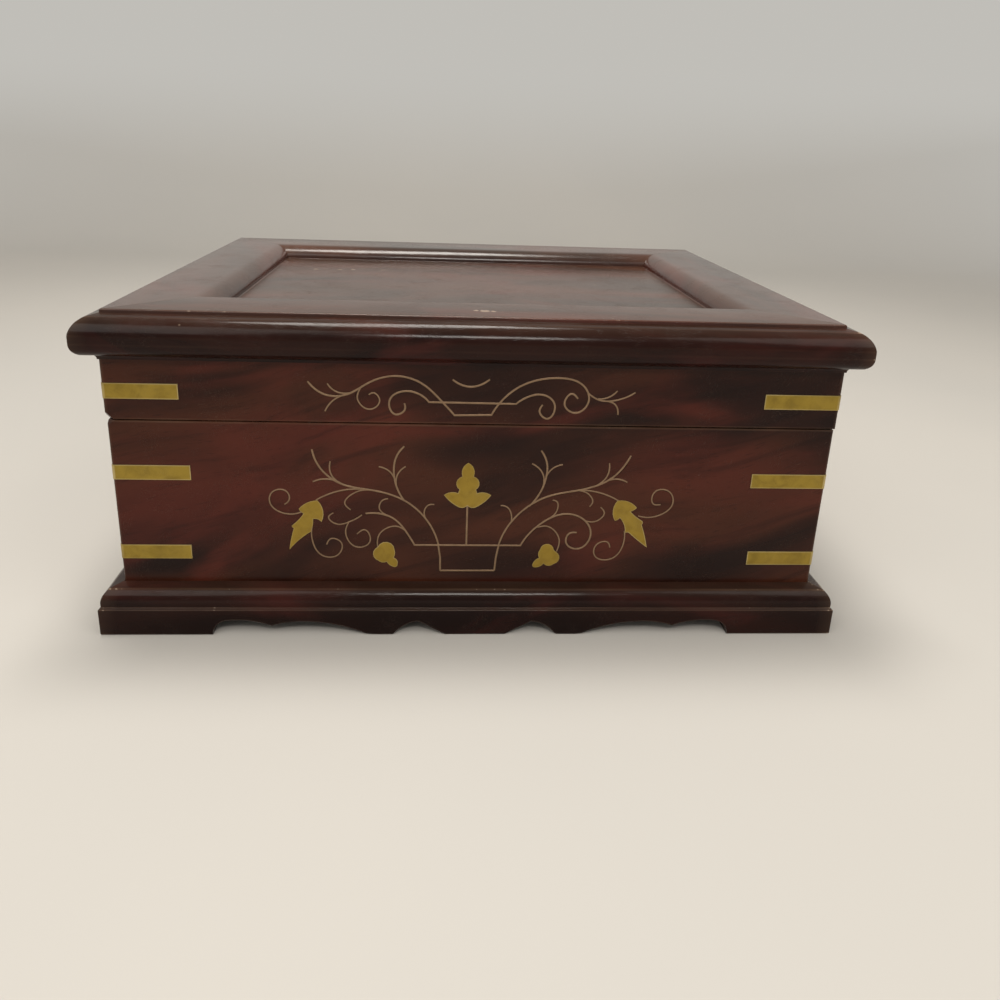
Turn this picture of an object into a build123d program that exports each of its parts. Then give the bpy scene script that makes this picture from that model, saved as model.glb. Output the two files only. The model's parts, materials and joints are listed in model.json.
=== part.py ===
from build123d import *

import os
from math import radians, sqrt, tan

# A small hardwood jewelry chest with a hinged box lid, brass corner straps and a brass vine inlay.
# Millimetres. The origin is the middle of the footprint on the table; X is right, Y is back, Z is up.
# A moulding section is drawn in (t, z): t is how far it stands out from the case's face, z its height.

# Case
CASE_WIDTH = 300.0
CASE_DEPTH = 240.0
CASE_FOOT = 10.0  # height of the case boards' lower edge, which stands in the plinth's rebate
CASE_HEIGHT = 83.6
BOARD = 12.0  # thickness of the case boards and of the lid's skirt boards
CORNER_RADIUS = 1.2  # worn upright corners
CASE_CHIP = 3.0  # worn front left corner beside the seam: how far it reaches along each edge
LID_CHIP = 4.0
CHIP_CENTRE = 12.0  # middle of the ball that rounds it, in from each face
EDGE_EASE = 0.4  # small bevel beside the seam between case and lid
MITRE_GAP = 0.08  # hairline that shows at each mitre

BOTTOM_THICKNESS = 6.0
BOTTOM_RECESS = 4.0  # from the case boards' lower edge up to the bottom panel
GROOVE_DEPTH = 5.0  # grooves that hold the bottom panel and the lid's top panel
GROOVE_SLIP = 0.05  # room around a panel's edge in its groove
PANEL_SHRINK_ROOM = 0.6  # room past a panel's edge, for the wood to move

# Plinth
PLINTH_HEIGHT = 21.2
PLINTH_REACH = 8.8  # past the case's face
PLINTH_FOOT_EASE = 0.7
PLINTH_FACE = 12.1  # height of the upright face, under the small step
PLINTH_STEP = 1.1
PLINTH_ROUND_BOW = 1.2  # how far the round over the step swells past a straight line
PLINTH_LEDGE = 4.8
PLINTH_LEDGE_FALL = 1.1

# Scallops under the plinth: two joined arches beside each foot, and a pointed one in front and behind
FOOT_LENGTH = 46.8
FOOT_EDGE = 1.4  # short upright edge where the scallops start
ARCH_A_SPAN = 25.0
ARCH_A_CROWN = 7.0  # from the foot to the highest place
ARCH_A_RISE = 6.8
ARCH_A_BOWS = (1.5, 1.05)  # of its two arcs, from the foot inwards
ARCH_CUSP = 4.2  # height of the tip where the arches meet
ARCH_B_SPAN = 43.0
ARCH_B_CROWN = 14.6
ARCH_B_RISE = 6.3
ARCH_B_BOWS = (0.67, 1.6)
POINT_GAP = 8.0
POINT_SPAN = 23.0
POINT_RISE = 6.4
POINT_BOW = 1.6

# Lid
SEAM = 0.5  # gap between case and closed lid
SKIRT_REACH = 0.4
SKIRT_HEIGHT = 30.5
FRAME_THICKNESS = 14.05
FRAME_PROUD = 1.45  # the top frame's surface over the cornice
FRAME_INSET = 1.3  # the top frame's edge stands this far inside the case's face
FRAME_EASE = 0.5
CORNICE_HEIGHT = 18.2
CORNICE_REACH = 8.0
CORNICE_LIP = 0.3  # flat lower edge on the skirt
CORNICE_COVE = (2.2, 2.2)  # out from the skirt and up
CORNICE_COVE_BOW = 0.6
CORNICE_SOFFIT = (2.4, 0.4)  # out and up
CORNICE_UNDER_RISE = 4.9
CORNICE_UNDER_BOW = 0.87
CORNICE_NOSE = 3.2  # height of the flat nose
CORNICE_SHOULDER = 2.7  # where the round top meets the ledge
CORNICE_SHOULDER_BOW = 1.09
CORNICE_LEDGE_FALL = 0.8
RAIL_FLAT = 28.7
RAIL_ROUND = (6.9, 3.5)  # inwards and down, over the gentle part of the inner moulding
RAIL_ROUND_BOW = 0.72
RAIL_SIDE = (1.5, 3.7)  # inwards and down, over its steep part
RAIL_SIDE_BOW = 0.34
RAIL_LEDGE = 0.8
RAIL_LEDGE_FALL = 0.15
PANEL_DROP = 7.45
PANEL_THICKNESS = 4.0

# Brass straps; a pair of sizes is for the left and for the right corners
STRAP_HEIGHT = 6.5
STRAP_THICKNESS = 1.0
STRAP_SUNK = 0.8
STRAP_FIT = 0.05
STRAP_LOWER_LEG = (29.4, 30.0)
STRAP_UPPER_LEG = (31.5, 32.9)
STRAP_LID_LEG = (29.7, 32.3)
STRAP_LOWER_RISE = (10.7, 8.7)  # from the plinth up to the strap
STRAP_UPPER_DROP = (19.1, 20.4)  # from the case's top edge down to the strap
STRAP_LID_RISE = (8.8, 8.4)  # from the skirt's lower edge up to the strap

# Hinges
HINGE_FROM_END = 55.0  # from the case's side to the middle of the hinge
HINGE_LENGTH = 38.0
HINGE_INSET = 3.0  # pin axis, in from the case's back face
HINGE_FIT = 0.05
LEAF_WIDTH = 8.0
LEAF_THICKNESS = 1.2
BARREL_RADIUS = 2.2
BARREL_ROOM = 0.3
KNUCKLES = 3
KNUCKLE_GAP = 0.2
PIN_RADIUS = 1.0
PIN_FIT = 0.05
SCREWS_PER_LEAF = 2
SCREW_PITCH = 24.0
SCREW_SIDES = 8  # small screws are cut with flat sides
SCREW_LENGTH = 8.0
SCREW_HEAD_RADIUS = 1.7
SCREW_RADIUS = 0.85
SCREW_FIT = 0.05
SCREW_SETBACK = 4.8  # from the pin axis
LID_OPENING = 98.0
STOP_SPARE = 1.0  # each back bevel is this much steeper than half of the opening, in degrees

# Lining
LINING = 1.5
FLOOR_PAD = 2.5
LINING_BELOW_RIM = 3.0
LINING_GAP = 0.3
LINING_EASE = 0.6

# Inlay
INLAY_DEPTH = 0.8
INLAY_PROUD = 0.12
INLAY_FIT = 0.05
STEM = 0.8
TWIG = 0.65
TENDRIL = 0.6
WIRE_BEND = 30.0  # most degrees that a wire turns over one of its straight steps
WIRE_STRAY = 0.15  # furthest that a step strays from the smooth line
WIRE_LOOKS = 120  # places along a wire where its direction is compared
LEAF_FACETS = 3  # straight cuts along each arc of a leaf

# The drawings of the inlay give (x, z) on the front. These heights in them fall on the middle of the
# case's open face and on the skirt's lower edge.
CASE_DRAWING_MIDDLE = 57.4
LID_DRAWING_FOOT = 94.1

# Wires of the case's vine, each a smooth line through its points
CASE_VINE_LEFT = [
    (STEM, [(-16.4, 38.9), (-22, 51.2), (-31, 59.5), (-45, 64.2), (-57.5, 67), (-65.5, 73.5), (-69, 82.2)]),
    (TWIG, [(-56.5, 66.6), (-61.3, 71), (-61.6, 77)]),
    (TWIG, [(-56.5, 66.6), (-63, 69), (-69, 67.8)]),
    (TWIG, [(-46, 64.3), (-55, 64.3), (-68, 59.4)]),
    (TENDRIL, [(-44, 64), (-52, 62.8), (-56, 58.3), (-53.6, 55.1)]),
    (STEM, [(-31.3, 59.8), (-34, 65), (-35.4, 72), (-34.5, 79), (-31.1, 84)]),
    (TWIG, [(-34.7, 67.5), (-37, 72.5), (-41.7, 74.8)]),
    (TWIG, [(-34.4, 66.5), (-33.8, 71.5), (-30.5, 75)]),
    (TENDRIL, [(-21.7, 50.8), (-22.6, 54.5), (-21.3, 57.2), (-18.4, 57.8)]),
    (STEM, [(-26.7, 38.8), (-29.5, 43.8), (-35.8, 51.3), (-40.5, 53.2), (-47.3, 53.4)]),
    (TENDRIL, [(-38.8, 52.9), (-41.6, 56.4), (-40.4, 59.4), (-37.9, 60.3)]),
    (TENDRIL, [(-29.9, 44.8), (-35, 47.6), (-40.5, 45.2), (-42.3, 37)]),
    (TENDRIL, [(-48.9, 52.8), (-54.5, 49.4), (-60, 48.6), (-62.9, 51.6), (-60.8, 53.6)]),
    (TENDRIL, [(-54.3, 49.6), (-55.8, 43.8), (-51, 37.6), (-45.6, 40.5), (-47.6, 45.8), (-51.1, 43.8)]),
    (TENDRIL, [(-69.9, 47), (-70, 41), (-66, 33.6), (-59.5, 33.8), (-58, 40), (-62, 41.6), (-64, 38.8)]),
    (TENDRIL, [(-74, 54), (-80, 53), (-86.8, 57.5), (-85.8, 63), (-80, 63.3), (-78.9, 60), (-81, 57.4)]),
]
CASE_VINE_RIGHT = [
    (STEM, [(9.6, 38.9), (12, 45.5), (19, 55), (30, 62), (43, 65), (55.5, 69.8), (64, 81)]),
    (TWIG, [(50, 67), (54.5, 71.5), (55.1, 77.5)]),
    (TWIG, [(54, 69), (59.5, 70.2), (63.4, 68.8)]),
    (TWIG, [(43.5, 65), (51.5, 64), (60.5, 60.1)]),
    (TENDRIL, [(43, 64.8), (48, 62.4), (49.2, 60), (48, 57.4)]),
    (STEM, [(22, 57.3), (26.5, 64), (28.6, 71), (28.6, 77), (25.9, 82.8)]),
    (TWIG, [(28.3, 70), (30.8, 74.5), (35.3, 76.6)]),
    (TWIG, [(27.4, 66), (27, 72.5), (22.3, 76.9)]),
    (TENDRIL, [(14.5, 49.6), (14.6, 53), (12.8, 56.7), (9.8, 57.6)]),
    (
        STEM,
        [(19.1, 38.8), (27.3, 49.1), (37, 53.8), (45.5, 51.6), (49.4, 44), (44.3, 37.3)]
        + [(39, 40), (39.8, 44.4), (43.2, 45.1)],
    ),
    (TENDRIL, [(30.6, 51.6), (34.2, 56), (33.8, 59.6), (31.9, 60.3)]),
    (TENDRIL, [(46.6, 50.7), (51.8, 50.8), (54.6, 54.2), (52.8, 57.2)]),
    (TENDRIL, [(26, 47.4), (30.5, 47.9), (35.2, 43.5), (35, 36)]),
    (TENDRIL, [(64, 46), (64.2, 40.5), (59.5, 32.6), (52.2, 33.6), (52.5, 39.5), (57, 40.6), (58.3, 38)]),
    (TENDRIL, [(69.5, 53.2), (77, 53), (84, 59), (81.5, 65), (75.5, 64.2), (75.5, 59), (78.8, 58.6)]),
]
CASE_VASE = [
    (STEM, [(-27, 38.7), (19.4, 38.7)]),
    (STEM, [(-16.5, 38.7), (-15.6, 33), (-15.5, 26.4), (8.1, 26.5), (8.6, 33), (9.6, 38.7)]),
    (STEM, [(-4.4, 38.7), (-4.4, 58.5)]),
]

# Leaves, each a closed chain of arcs: corner, middle of arc, corner, middle of arc, and so on.
LEAF_CENTRE_X = -4.4
LEAF_CENTRE_HALF = [
    (0, 77),
    (2.2, 74.8),
    (2.4, 70.8),
    (4.7, 68.7),
    (3.5, 64.8),
    (3.8, 64),
    (4.0, 63.2),
    (7.0, 63.6),
    (10.0, 62.3),
    (7.3, 59.2),
    (4.2, 57),
    (2.0, 56.4),
    (0, 57.4),
]
LEAF_LEFT = [
    (-67.3, 59.3),
    (-65.4, 56),
    (-65.9, 49.3),
    (-67.5, 50.6),
    (-69.4, 50.7),
    (-69.6, 47.6),
    (-70.5, 44.8),
    (-75.4, 41),
    (-79.8, 36.2),
    (-78.9, 41.5),
    (-77.6, 46.4),
    (-78.2, 46.9),
    (-78.4, 47.6),
    (-76.2, 49.6),
    (-73.3, 53.2),
    (-74.5, 54.1),
    (-75.2, 55.4),
    (-71.8, 58.2),
]
LEAF_RIGHT = [
    (59.9, 60.3),
    (65, 59.8),
    (68.6, 57),
    (67.4, 55.9),
    (66, 55.2),
    (68.2, 53.1),
    (71.5, 50.8),
    (71.8, 49.9),
    (71.4, 49),
    (72.8, 45),
    (74.6, 38.1),
    (70.4, 41.4),
    (66, 45.2),
    (65.1, 45.3),
    (64.3, 44.9),
    (63.7, 48.8),
    (61.6, 52.2),
    (60.7, 51.3),
    (59.5, 50.8),
    (58.2, 55),
]
BUD_LEFT = [
    (-42.4, 37.7),
    (-38.8, 40.2),
    (-35.2, 36.4),
    (-35, 34.4),
    (-35.6, 32.7),
    (-34.2, 31.6),
    (-33.9, 29.4),
    (-34.3, 28.4),
    (-35.2, 28.1),
    (-37.2, 29),
    (-38.6, 30.7),
    (-40.2, 30.3),
    (-42, 31.1),
    (-44.4, 34.6),
]
BUD_RIGHT = [
    (33.4, 37.9),
    (30.9, 39.6),
    (27.7, 36.8),
    (27, 34.6),
    (27.5, 32.8),
    (25.9, 31.8),
    (24.9, 30),
    (24.8, 28.8),
    (25.4, 28.2),
    (28, 28.6),
    (29.6, 30),
    (31.3, 29),
    (34, 29.8),
    (36.4, 32.6),
    (34.8, 35.7),
    (33.9, 36.6),
]

# Wires of the lid's vine.
LID_VINE_LEFT = [
    (
        STEM,
        [(-10.6, 97.8), (-15.6, 103.4), (-24.4, 111.4), (-34.5, 114.2), (-45, 111.4), (-55, 105.9)]
        + [(-62, 105.7), (-69.7, 111.4)],
    ),
    (TWIG, [(-53, 106.8), (-59, 107.6), (-61.9, 110.6)]),
    (TWIG, [(-54, 106.2), (-60, 103.3), (-63.1, 98.9)]),
    (TENDRIL, [(-48, 110), (-49.7, 103.5), (-45, 100), (-41.1, 104.2), (-43.6, 107), (-45.4, 106.2)]),
    (
        STEM,
        [(-21.1, 103.4), (-25.5, 106.9), (-31, 107.9), (-37.2, 103.5), (-34.5, 97.9), (-31, 100)]
        + [(-31.1, 102.8)],
    ),
]
LID_VINE_RIGHT = [
    (
        STEM,
        [(4.4, 98.2), (8.5, 104.5), (16, 110.8), (31, 114.5), (41.7, 111.4), (44.2, 104.8), (39, 99.7)]
        + [(34.3, 104), (37, 107.9), (39.7, 105.9)],
    ),
    (TWIG, [(43.6, 108.6), (49.5, 105.2), (57, 105.8), (63.3, 108.9)]),
    (TWIG, [(48, 105.9), (53, 107), (55.8, 109.5)]),
    (TWIG, [(50.5, 105), (55.5, 103.4), (56.8, 99.2)]),
    (STEM, [(14.4, 103.2), (18.5, 106), (25, 107.3), (30.4, 102.5), (27.4, 97), (24.2, 100), (25.3, 103)]),
]
LID_VASE = [
    (STEM, [(-21.4, 103.4), (14.7, 103.2)]),
    (STEM, [(-10.9, 97.9), (4.7, 98.3)]),
]
LID_CREST = [(STEM, [(-11.7, 113.1), (-4.6, 110.2), (3.3, 113.4)])]

# Heights and reaches that follow from the sizes above
CASE_TOP = CASE_FOOT + CASE_HEIGHT
SKIRT_FOOT = CASE_TOP + SEAM
SKIRT_TOP = SKIRT_FOOT + SKIRT_HEIGHT
LID_TOP = SKIRT_TOP + FRAME_THICKNESS
CORNICE_TOP = LID_TOP - FRAME_PROUD
CORNICE_FOOT = CORNICE_TOP - CORNICE_HEIGHT
FLOOR = CASE_FOOT + BOTTOM_RECESS + BOTTOM_THICKNESS
FRAME_WIDTH = RAIL_FLAT + RAIL_ROUND[0] + RAIL_SIDE[0] + RAIL_LEDGE
HINGE_OFFSET = CASE_WIDTH / 2 - HINGE_FROM_END
PIVOT_Y = CASE_DEPTH / 2 - HINGE_INSET
PIVOT_Z = CASE_TOP + SEAM / 2
CUT_PAST = 1.0  # how far a cutting shape runs past what it cuts
OUTWARDS = max(PLINTH_REACH, CORNICE_REACH) + CUT_PAST
INWARDS = max(BOARD, FRAME_INSET + FRAME_WIDTH) + CUT_PAST

STRAP_LEGS = {"lower": STRAP_LOWER_LEG, "upper": STRAP_UPPER_LEG, "lid": STRAP_LID_LEG}
STRAP_BOTTOMS = {
    "lower": [PLINTH_HEIGHT + rise for rise in STRAP_LOWER_RISE],
    "upper": [CASE_TOP - drop - STRAP_HEIGHT for drop in STRAP_UPPER_DROP],
    "lid": [SKIRT_FOOT + rise for rise in STRAP_LID_RISE],
}

# Each side: length of its face, distance between it and the opposite one, turn from the front.
SIDES = {
    "front": (CASE_WIDTH, CASE_DEPTH, 0),
    "right": (CASE_DEPTH, CASE_WIDTH, 90),
    "back": (CASE_WIDTH, CASE_DEPTH, 180),
    "left": (CASE_DEPTH, CASE_WIDTH, -90),
}

# Each corner: which way it lies in x and y, and the turn from the back right corner.
CORNERS = {
    "front_left": (-1, -1, 180),
    "front_right": (1, -1, -90),
    "back_left": (-1, 1, 90),
    "back_right": (1, 1, 0),
}


def chain(*lines):
    """A face bounded by lines that follow each other."""
    return make_face(Wire([edge for line in lines for edge in line.edges()]))


def mitred_run(section, length, depth):
    """The front run of a moulding with this section, cut at 45 degrees at both ends."""
    plane = Plane(origin=(0, -depth / 2, 0), x_dir=(0, -1, 0), z_dir=(-1, 0, 0))
    bar = extrude(plane * section, amount=length / 2 + OUTWARDS, both=True)
    outer = length / 2 + OUTWARDS - MITRE_GAP / sqrt(2)
    inner = length / 2 - INWARDS - MITRE_GAP / sqrt(2)
    front = -depth / 2 - OUTWARDS
    back = -depth / 2 + INWARDS
    plan = make_face(Polyline((-outer, front), (outer, front), (inner, back), (-inner, back), close=True))
    return bar & extrude(plan, amount=2 * LID_TOP, both=True)


def on_side(part, side):
    """A front run turned to its side."""
    return Rot(0, 0, SIDES[side][2]) * part


def rounded_prism(reach, foot, top):
    """A solid block over the whole plan with worn upright corners."""
    plan = RectangleRounded(CASE_WIDTH + 2 * reach, CASE_DEPTH + 2 * reach, CORNER_RADIUS)
    return Pos(0, 0, foot) * extrude(plan, amount=top - foot)


def worn_corner(chip, reach, height, way):
    """What wear has taken off the front left corner beside the seam; way is 1 where the board is above."""
    size = 2 * CHIP_CENTRE
    radius = sqrt(2 * CHIP_CENTRE**2 + (CHIP_CENTRE - chip) ** 2)
    ball = Pos(CHIP_CENTRE, CHIP_CENTRE, way * CHIP_CENTRE) * Sphere(radius)
    corner = Pos(-CASE_WIDTH / 2 - reach, -CASE_DEPTH / 2 - reach, height)
    return corner * (Box(size, size, size) - ball)


def back_bevel(upwards):
    """The wedge taken off the back edge, so that case and lid meet when the lid is fully open."""
    run = HINGE_INSET + SKIRT_REACH + CUT_PAST
    rise = run * tan(radians(LID_OPENING / 2 + STOP_SPARE))
    way = 1 if upwards else -1
    plane = Plane(origin=(0, PIVOT_Y, PIVOT_Z), x_dir=(0, 1, 0), z_dir=(1, 0, 0))
    wedge = make_face(Polyline((0, 0), (run, way * rise), (run, -way), (0, -way), close=True))
    return extrude(plane * wedge, amount=CASE_WIDTH, both=True)


def case_board_section():
    """Section of a case board, with the groove for the bottom panel."""
    groove_low = CASE_FOOT + BOTTOM_RECESS - GROOVE_SLIP
    groove_high = FLOOR + GROOVE_SLIP
    return make_face(
        Polyline(
            (0, CASE_FOOT),
            (0, CASE_TOP - EDGE_EASE),
            (-EDGE_EASE, CASE_TOP),
            (-BOARD, CASE_TOP),
            (-BOARD, groove_high),
            (GROOVE_DEPTH - BOARD, groove_high),
            (GROOVE_DEPTH - BOARD, groove_low),
            (-BOARD, groove_low),
            (-BOARD, CASE_FOOT),
            close=True,
        )
    )


def skirt_board_section():
    """Section of a board of the lid's skirt."""
    return make_face(
        Polyline(
            (SKIRT_REACH - EDGE_EASE, SKIRT_FOOT),
            (SKIRT_REACH, SKIRT_FOOT + EDGE_EASE),
            (SKIRT_REACH, SKIRT_TOP),
            (SKIRT_REACH - BOARD, SKIRT_TOP),
            (SKIRT_REACH - BOARD, SKIRT_FOOT),
            close=True,
        )
    )


def plinth_section():
    """Section of the plinth: rebate for the case inside, step, round and sloping ledge outside."""
    shoulder = (PLINTH_REACH - PLINTH_STEP, PLINTH_FACE + PLINTH_STEP / 2)
    ledge = (PLINTH_LEDGE, PLINTH_HEIGHT - PLINTH_LEDGE_FALL)
    return chain(
        Polyline(
            (-BOARD, 0),
            (PLINTH_REACH - PLINTH_FOOT_EASE, 0),
            (PLINTH_REACH, PLINTH_FOOT_EASE),
            (PLINTH_REACH, PLINTH_FACE),
            shoulder,
        ),
        SagittaArc(shoulder, ledge, -PLINTH_ROUND_BOW),
        Polyline(ledge, (0, PLINTH_HEIGHT), (0, CASE_FOOT), (-BOARD, CASE_FOOT), (-BOARD, 0)),
    )


def cornice_section():
    """Section of the cornice: it hooks over the skirt boards, under the edge of the top frame."""
    lip = (SKIRT_REACH + CORNICE_LIP, CORNICE_FOOT)
    cove = (SKIRT_REACH + CORNICE_COVE[0], CORNICE_FOOT + CORNICE_COVE[1])
    soffit = (cove[0] + CORNICE_SOFFIT[0], cove[1] + CORNICE_SOFFIT[1])
    nose_low = (CORNICE_REACH, soffit[1] + CORNICE_UNDER_RISE)
    nose_high = (CORNICE_REACH, nose_low[1] + CORNICE_NOSE)
    shoulder = (CORNICE_SHOULDER, CORNICE_TOP - CORNICE_LEDGE_FALL)
    inner = -FRAME_INSET
    return chain(
        Line((SKIRT_REACH, CORNICE_FOOT), lip),
        SagittaArc(lip, cove, CORNICE_COVE_BOW),
        Line(cove, soffit),
        SagittaArc(soffit, nose_low, -CORNICE_UNDER_BOW),
        Line(nose_low, nose_high),
        SagittaArc(nose_high, shoulder, -CORNICE_SHOULDER_BOW),
        Polyline(
            shoulder,
            (inner, CORNICE_TOP),
            (inner, SKIRT_TOP),
            (SKIRT_REACH, SKIRT_TOP),
            (SKIRT_REACH, CORNICE_FOOT),
        ),
    )


def rail_section():
    """Section of a rail of the lid's top frame: flat, round inner moulding, ledge and panel groove."""
    edge = -FRAME_INSET
    round_start = (edge - RAIL_FLAT, LID_TOP)
    round_end = (round_start[0] - RAIL_ROUND[0], LID_TOP - RAIL_ROUND[1])
    side_end = (round_end[0] - RAIL_SIDE[0], round_end[1] - RAIL_SIDE[1])
    inner = edge - FRAME_WIDTH
    groove_high = LID_TOP - PANEL_DROP + GROOVE_SLIP
    groove_low = groove_high - PANEL_THICKNESS - 2 * GROOVE_SLIP
    return chain(
        Polyline(
            (edge, SKIRT_TOP),
            (edge, LID_TOP - FRAME_EASE),
            (edge - FRAME_EASE, LID_TOP),
            round_start,
        ),
        SagittaArc(round_start, round_end, -RAIL_ROUND_BOW),
        SagittaArc(round_end, side_end, -RAIL_SIDE_BOW),
        Polyline(
            side_end,
            (inner, side_end[1] - RAIL_LEDGE_FALL),
            (inner, groove_high),
            (inner + GROOVE_DEPTH, groove_high),
            (inner + GROOVE_DEPTH, groove_low),
            (inner, groove_low),
            (inner, SKIRT_TOP),
            (edge, SKIRT_TOP),
        ),
    )


def arch_pair(foot_end):
    """The two joined arches beside a foot that ends this far from the middle, as a face in (x, z)."""
    edge = (foot_end, FOOT_EDGE)
    crown_a = (foot_end - ARCH_A_CROWN, ARCH_A_RISE)
    cusp = (foot_end - ARCH_A_SPAN, ARCH_CUSP)
    crown_b = (cusp[0] - ARCH_B_CROWN, ARCH_B_RISE)
    end = (cusp[0] - ARCH_B_SPAN, -CUT_PAST)
    return chain(
        Polyline(end, (foot_end, -CUT_PAST), edge),
        SagittaArc(edge, crown_a, -ARCH_A_BOWS[0]),
        SagittaArc(crown_a, cusp, -ARCH_A_BOWS[1]),
        SagittaArc(cusp, crown_b, -ARCH_B_BOWS[0]),
        SagittaArc(crown_b, end, -ARCH_B_BOWS[1]),
    )


def arch_point(foot_end):
    """The small pointed arch between the joined arches and the middle, as a face in (x, z)."""
    outer = (foot_end - ARCH_A_SPAN - ARCH_B_SPAN - POINT_GAP, -CUT_PAST)
    inner = (outer[0] - POINT_SPAN, -CUT_PAST)
    peak = (outer[0] - POINT_SPAN / 2, POINT_RISE)
    return chain(SagittaArc(outer, peak, -POINT_BOW), Polyline(peak, inner, outer))


def apron_cut(length, depth, with_points):
    """The scallops under one plinth run, as a solid to take away."""
    foot_end = length / 2 + PLINTH_REACH - FOOT_LENGTH
    faces = [arch_pair(foot_end)]
    if with_points:
        faces.append(arch_point(foot_end))
    plane = Plane(origin=(0, -depth / 2, 0), x_dir=(1, 0, 0), z_dir=(0, -1, 0))
    solids = [extrude(plane * face, amount=OUTWARDS + BOARD, both=True) for face in faces]
    return Part() + solids + [mirror(solid, Plane.YZ) for solid in solids]


def strap_corner(level, corner, pocket=False):
    """A brass L round one upright corner, or the pocket that it lies in."""
    sign_x, sign_y, turn = CORNERS[corner]
    face = SKIRT_REACH if level == "lid" else 0
    fit = STRAP_FIT if pocket else 0
    across = 0 if sign_x < 0 else 1
    leg = face - STRAP_LEGS[level][across] - fit
    inside = face - STRAP_SUNK
    outside = inside + (OUTWARDS if pocket else STRAP_THICKNESS)
    outer = [(leg, outside), (outside, outside), (outside, leg)]
    inner = [(inside, leg), (inside, inside), (leg, inside)]
    plan = make_face(Polyline(*outer, *inner, close=True))
    if not pocket:
        plan = fillet(plan.vertices().sort_by(lambda v: v.X + v.Y)[-1:], CORNER_RADIUS)
    solid = extrude(plan, amount=STRAP_HEIGHT + 2 * fit)
    place = (sign_x * CASE_WIDTH / 2, sign_y * CASE_DEPTH / 2, STRAP_BOTTOMS[level][across] - fit)
    return Pos(*place) * Rot(0, 0, turn) * solid


def wire_path(points):
    """A smooth line through the points, in straight steps that keep to WIRE_BEND and WIRE_STRAY."""
    curve = Spline(*points)
    places = [0]
    turned = 0
    for i in range(WIRE_LOOKS - 1):
        here, ahead = i / WIRE_LOOKS, (i + 1) / WIRE_LOOKS
        turned += (curve % here).get_angle(curve % ahead)
        step = (ahead - places[-1]) * curve.length
        if turned >= WIRE_BEND or step * radians(turned) / 8 >= WIRE_STRAY:
            places.append(ahead)
            turned = 0
    return [curve @ place for place in places + [1]]


def wires(strokes, smooth=True, grow=0):
    """Flat strips of wire along their points, as one sketch; wires that aren't smooth are bent sharply."""
    faces = []
    for width, points in strokes:
        path = Polyline(*(wire_path(points) if smooth else points))
        faces += trace(path, line_width=width + 2 * grow).faces()
    return Sketch() + faces


def leaf(points):
    """A leaf cut from sheet along a closed chain of arcs: corner, middle of arc, corner and so on."""
    corners = points[::2]
    cuts = []
    for start, middle, end in zip(corners, points[1::2], corners[1:] + corners[:1]):
        arc = ThreePointArc(start, middle, end)
        cuts += [arc @ (i / LEAF_FACETS) for i in range(LEAF_FACETS)]
    return make_face(Polyline(*cuts, close=True))


def centre_leaf():
    """The leaf over the vase: one half is drawn and the other mirrors it."""
    right = [(LEAF_CENTRE_X + x, z) for x, z in LEAF_CENTRE_HALF]
    left = [(LEAF_CENTRE_X - x, z) for x, z in reversed(LEAF_CENTRE_HALF[1:-1])]
    return leaf(right + left)


def inlay_shapes():
    """The sketches of all inlay pieces on the front, cut clear of each other, and their pockets."""
    leaves = {
        "inlay_leaf_centre": centre_leaf(),
        "inlay_leaf_left": leaf(LEAF_LEFT),
        "inlay_leaf_right": leaf(LEAF_RIGHT),
        "inlay_bud_left": leaf(BUD_LEFT),
        "inlay_bud_right": leaf(BUD_RIGHT),
    }
    pockets = {name: offset(face, INLAY_FIT, kind=Kind.INTERSECTION) for name, face in leaves.items()}
    case_pocket = Sketch() + list(pockets.values())
    vase_pocket = wires(CASE_VASE, smooth=False, grow=INLAY_FIT)
    shapes = dict(leaves)
    shapes["inlay_vase"] = wires(CASE_VASE, smooth=False) - case_pocket
    shapes["inlay_vine_left"] = wires(CASE_VINE_LEFT) - vase_pocket - case_pocket
    shapes["inlay_vine_right"] = wires(CASE_VINE_RIGHT) - vase_pocket - case_pocket
    case_pocket += vase_pocket
    for strokes in (CASE_VINE_LEFT, CASE_VINE_RIGHT):
        case_pocket += wires(strokes, grow=INLAY_FIT)
    lid_pocket = wires(LID_VASE, smooth=False, grow=INLAY_FIT)
    lid_shapes = {
        "inlay_lid_vase": wires(LID_VASE, smooth=False),
        "inlay_lid_vine_left": wires(LID_VINE_LEFT) - lid_pocket,
        "inlay_lid_vine_right": wires(LID_VINE_RIGHT) - lid_pocket,
        "inlay_lid_crest": wires(LID_CREST),
    }
    for strokes in (LID_VINE_LEFT, LID_VINE_RIGHT, LID_CREST):
        lid_pocket += wires(strokes, grow=INLAY_FIT)
    return shapes, case_pocket, lid_shapes, lid_pocket


def inlaid(sketch, on_lid, proud):
    """An inlay sketch as a solid let into the front of the case or of the lid's skirt."""
    face = SKIRT_REACH if on_lid else 0
    lift = SKIRT_FOOT - LID_DRAWING_FOOT if on_lid else (PLINTH_HEIGHT + CASE_TOP) / 2 - CASE_DRAWING_MIDDLE
    y = -CASE_DEPTH / 2 - face + INLAY_DEPTH
    plane = Plane(origin=(0, y, lift), x_dir=(1, 0, 0), z_dir=(0, -1, 0))
    return extrude(plane * sketch, amount=INLAY_DEPTH + proud)


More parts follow.
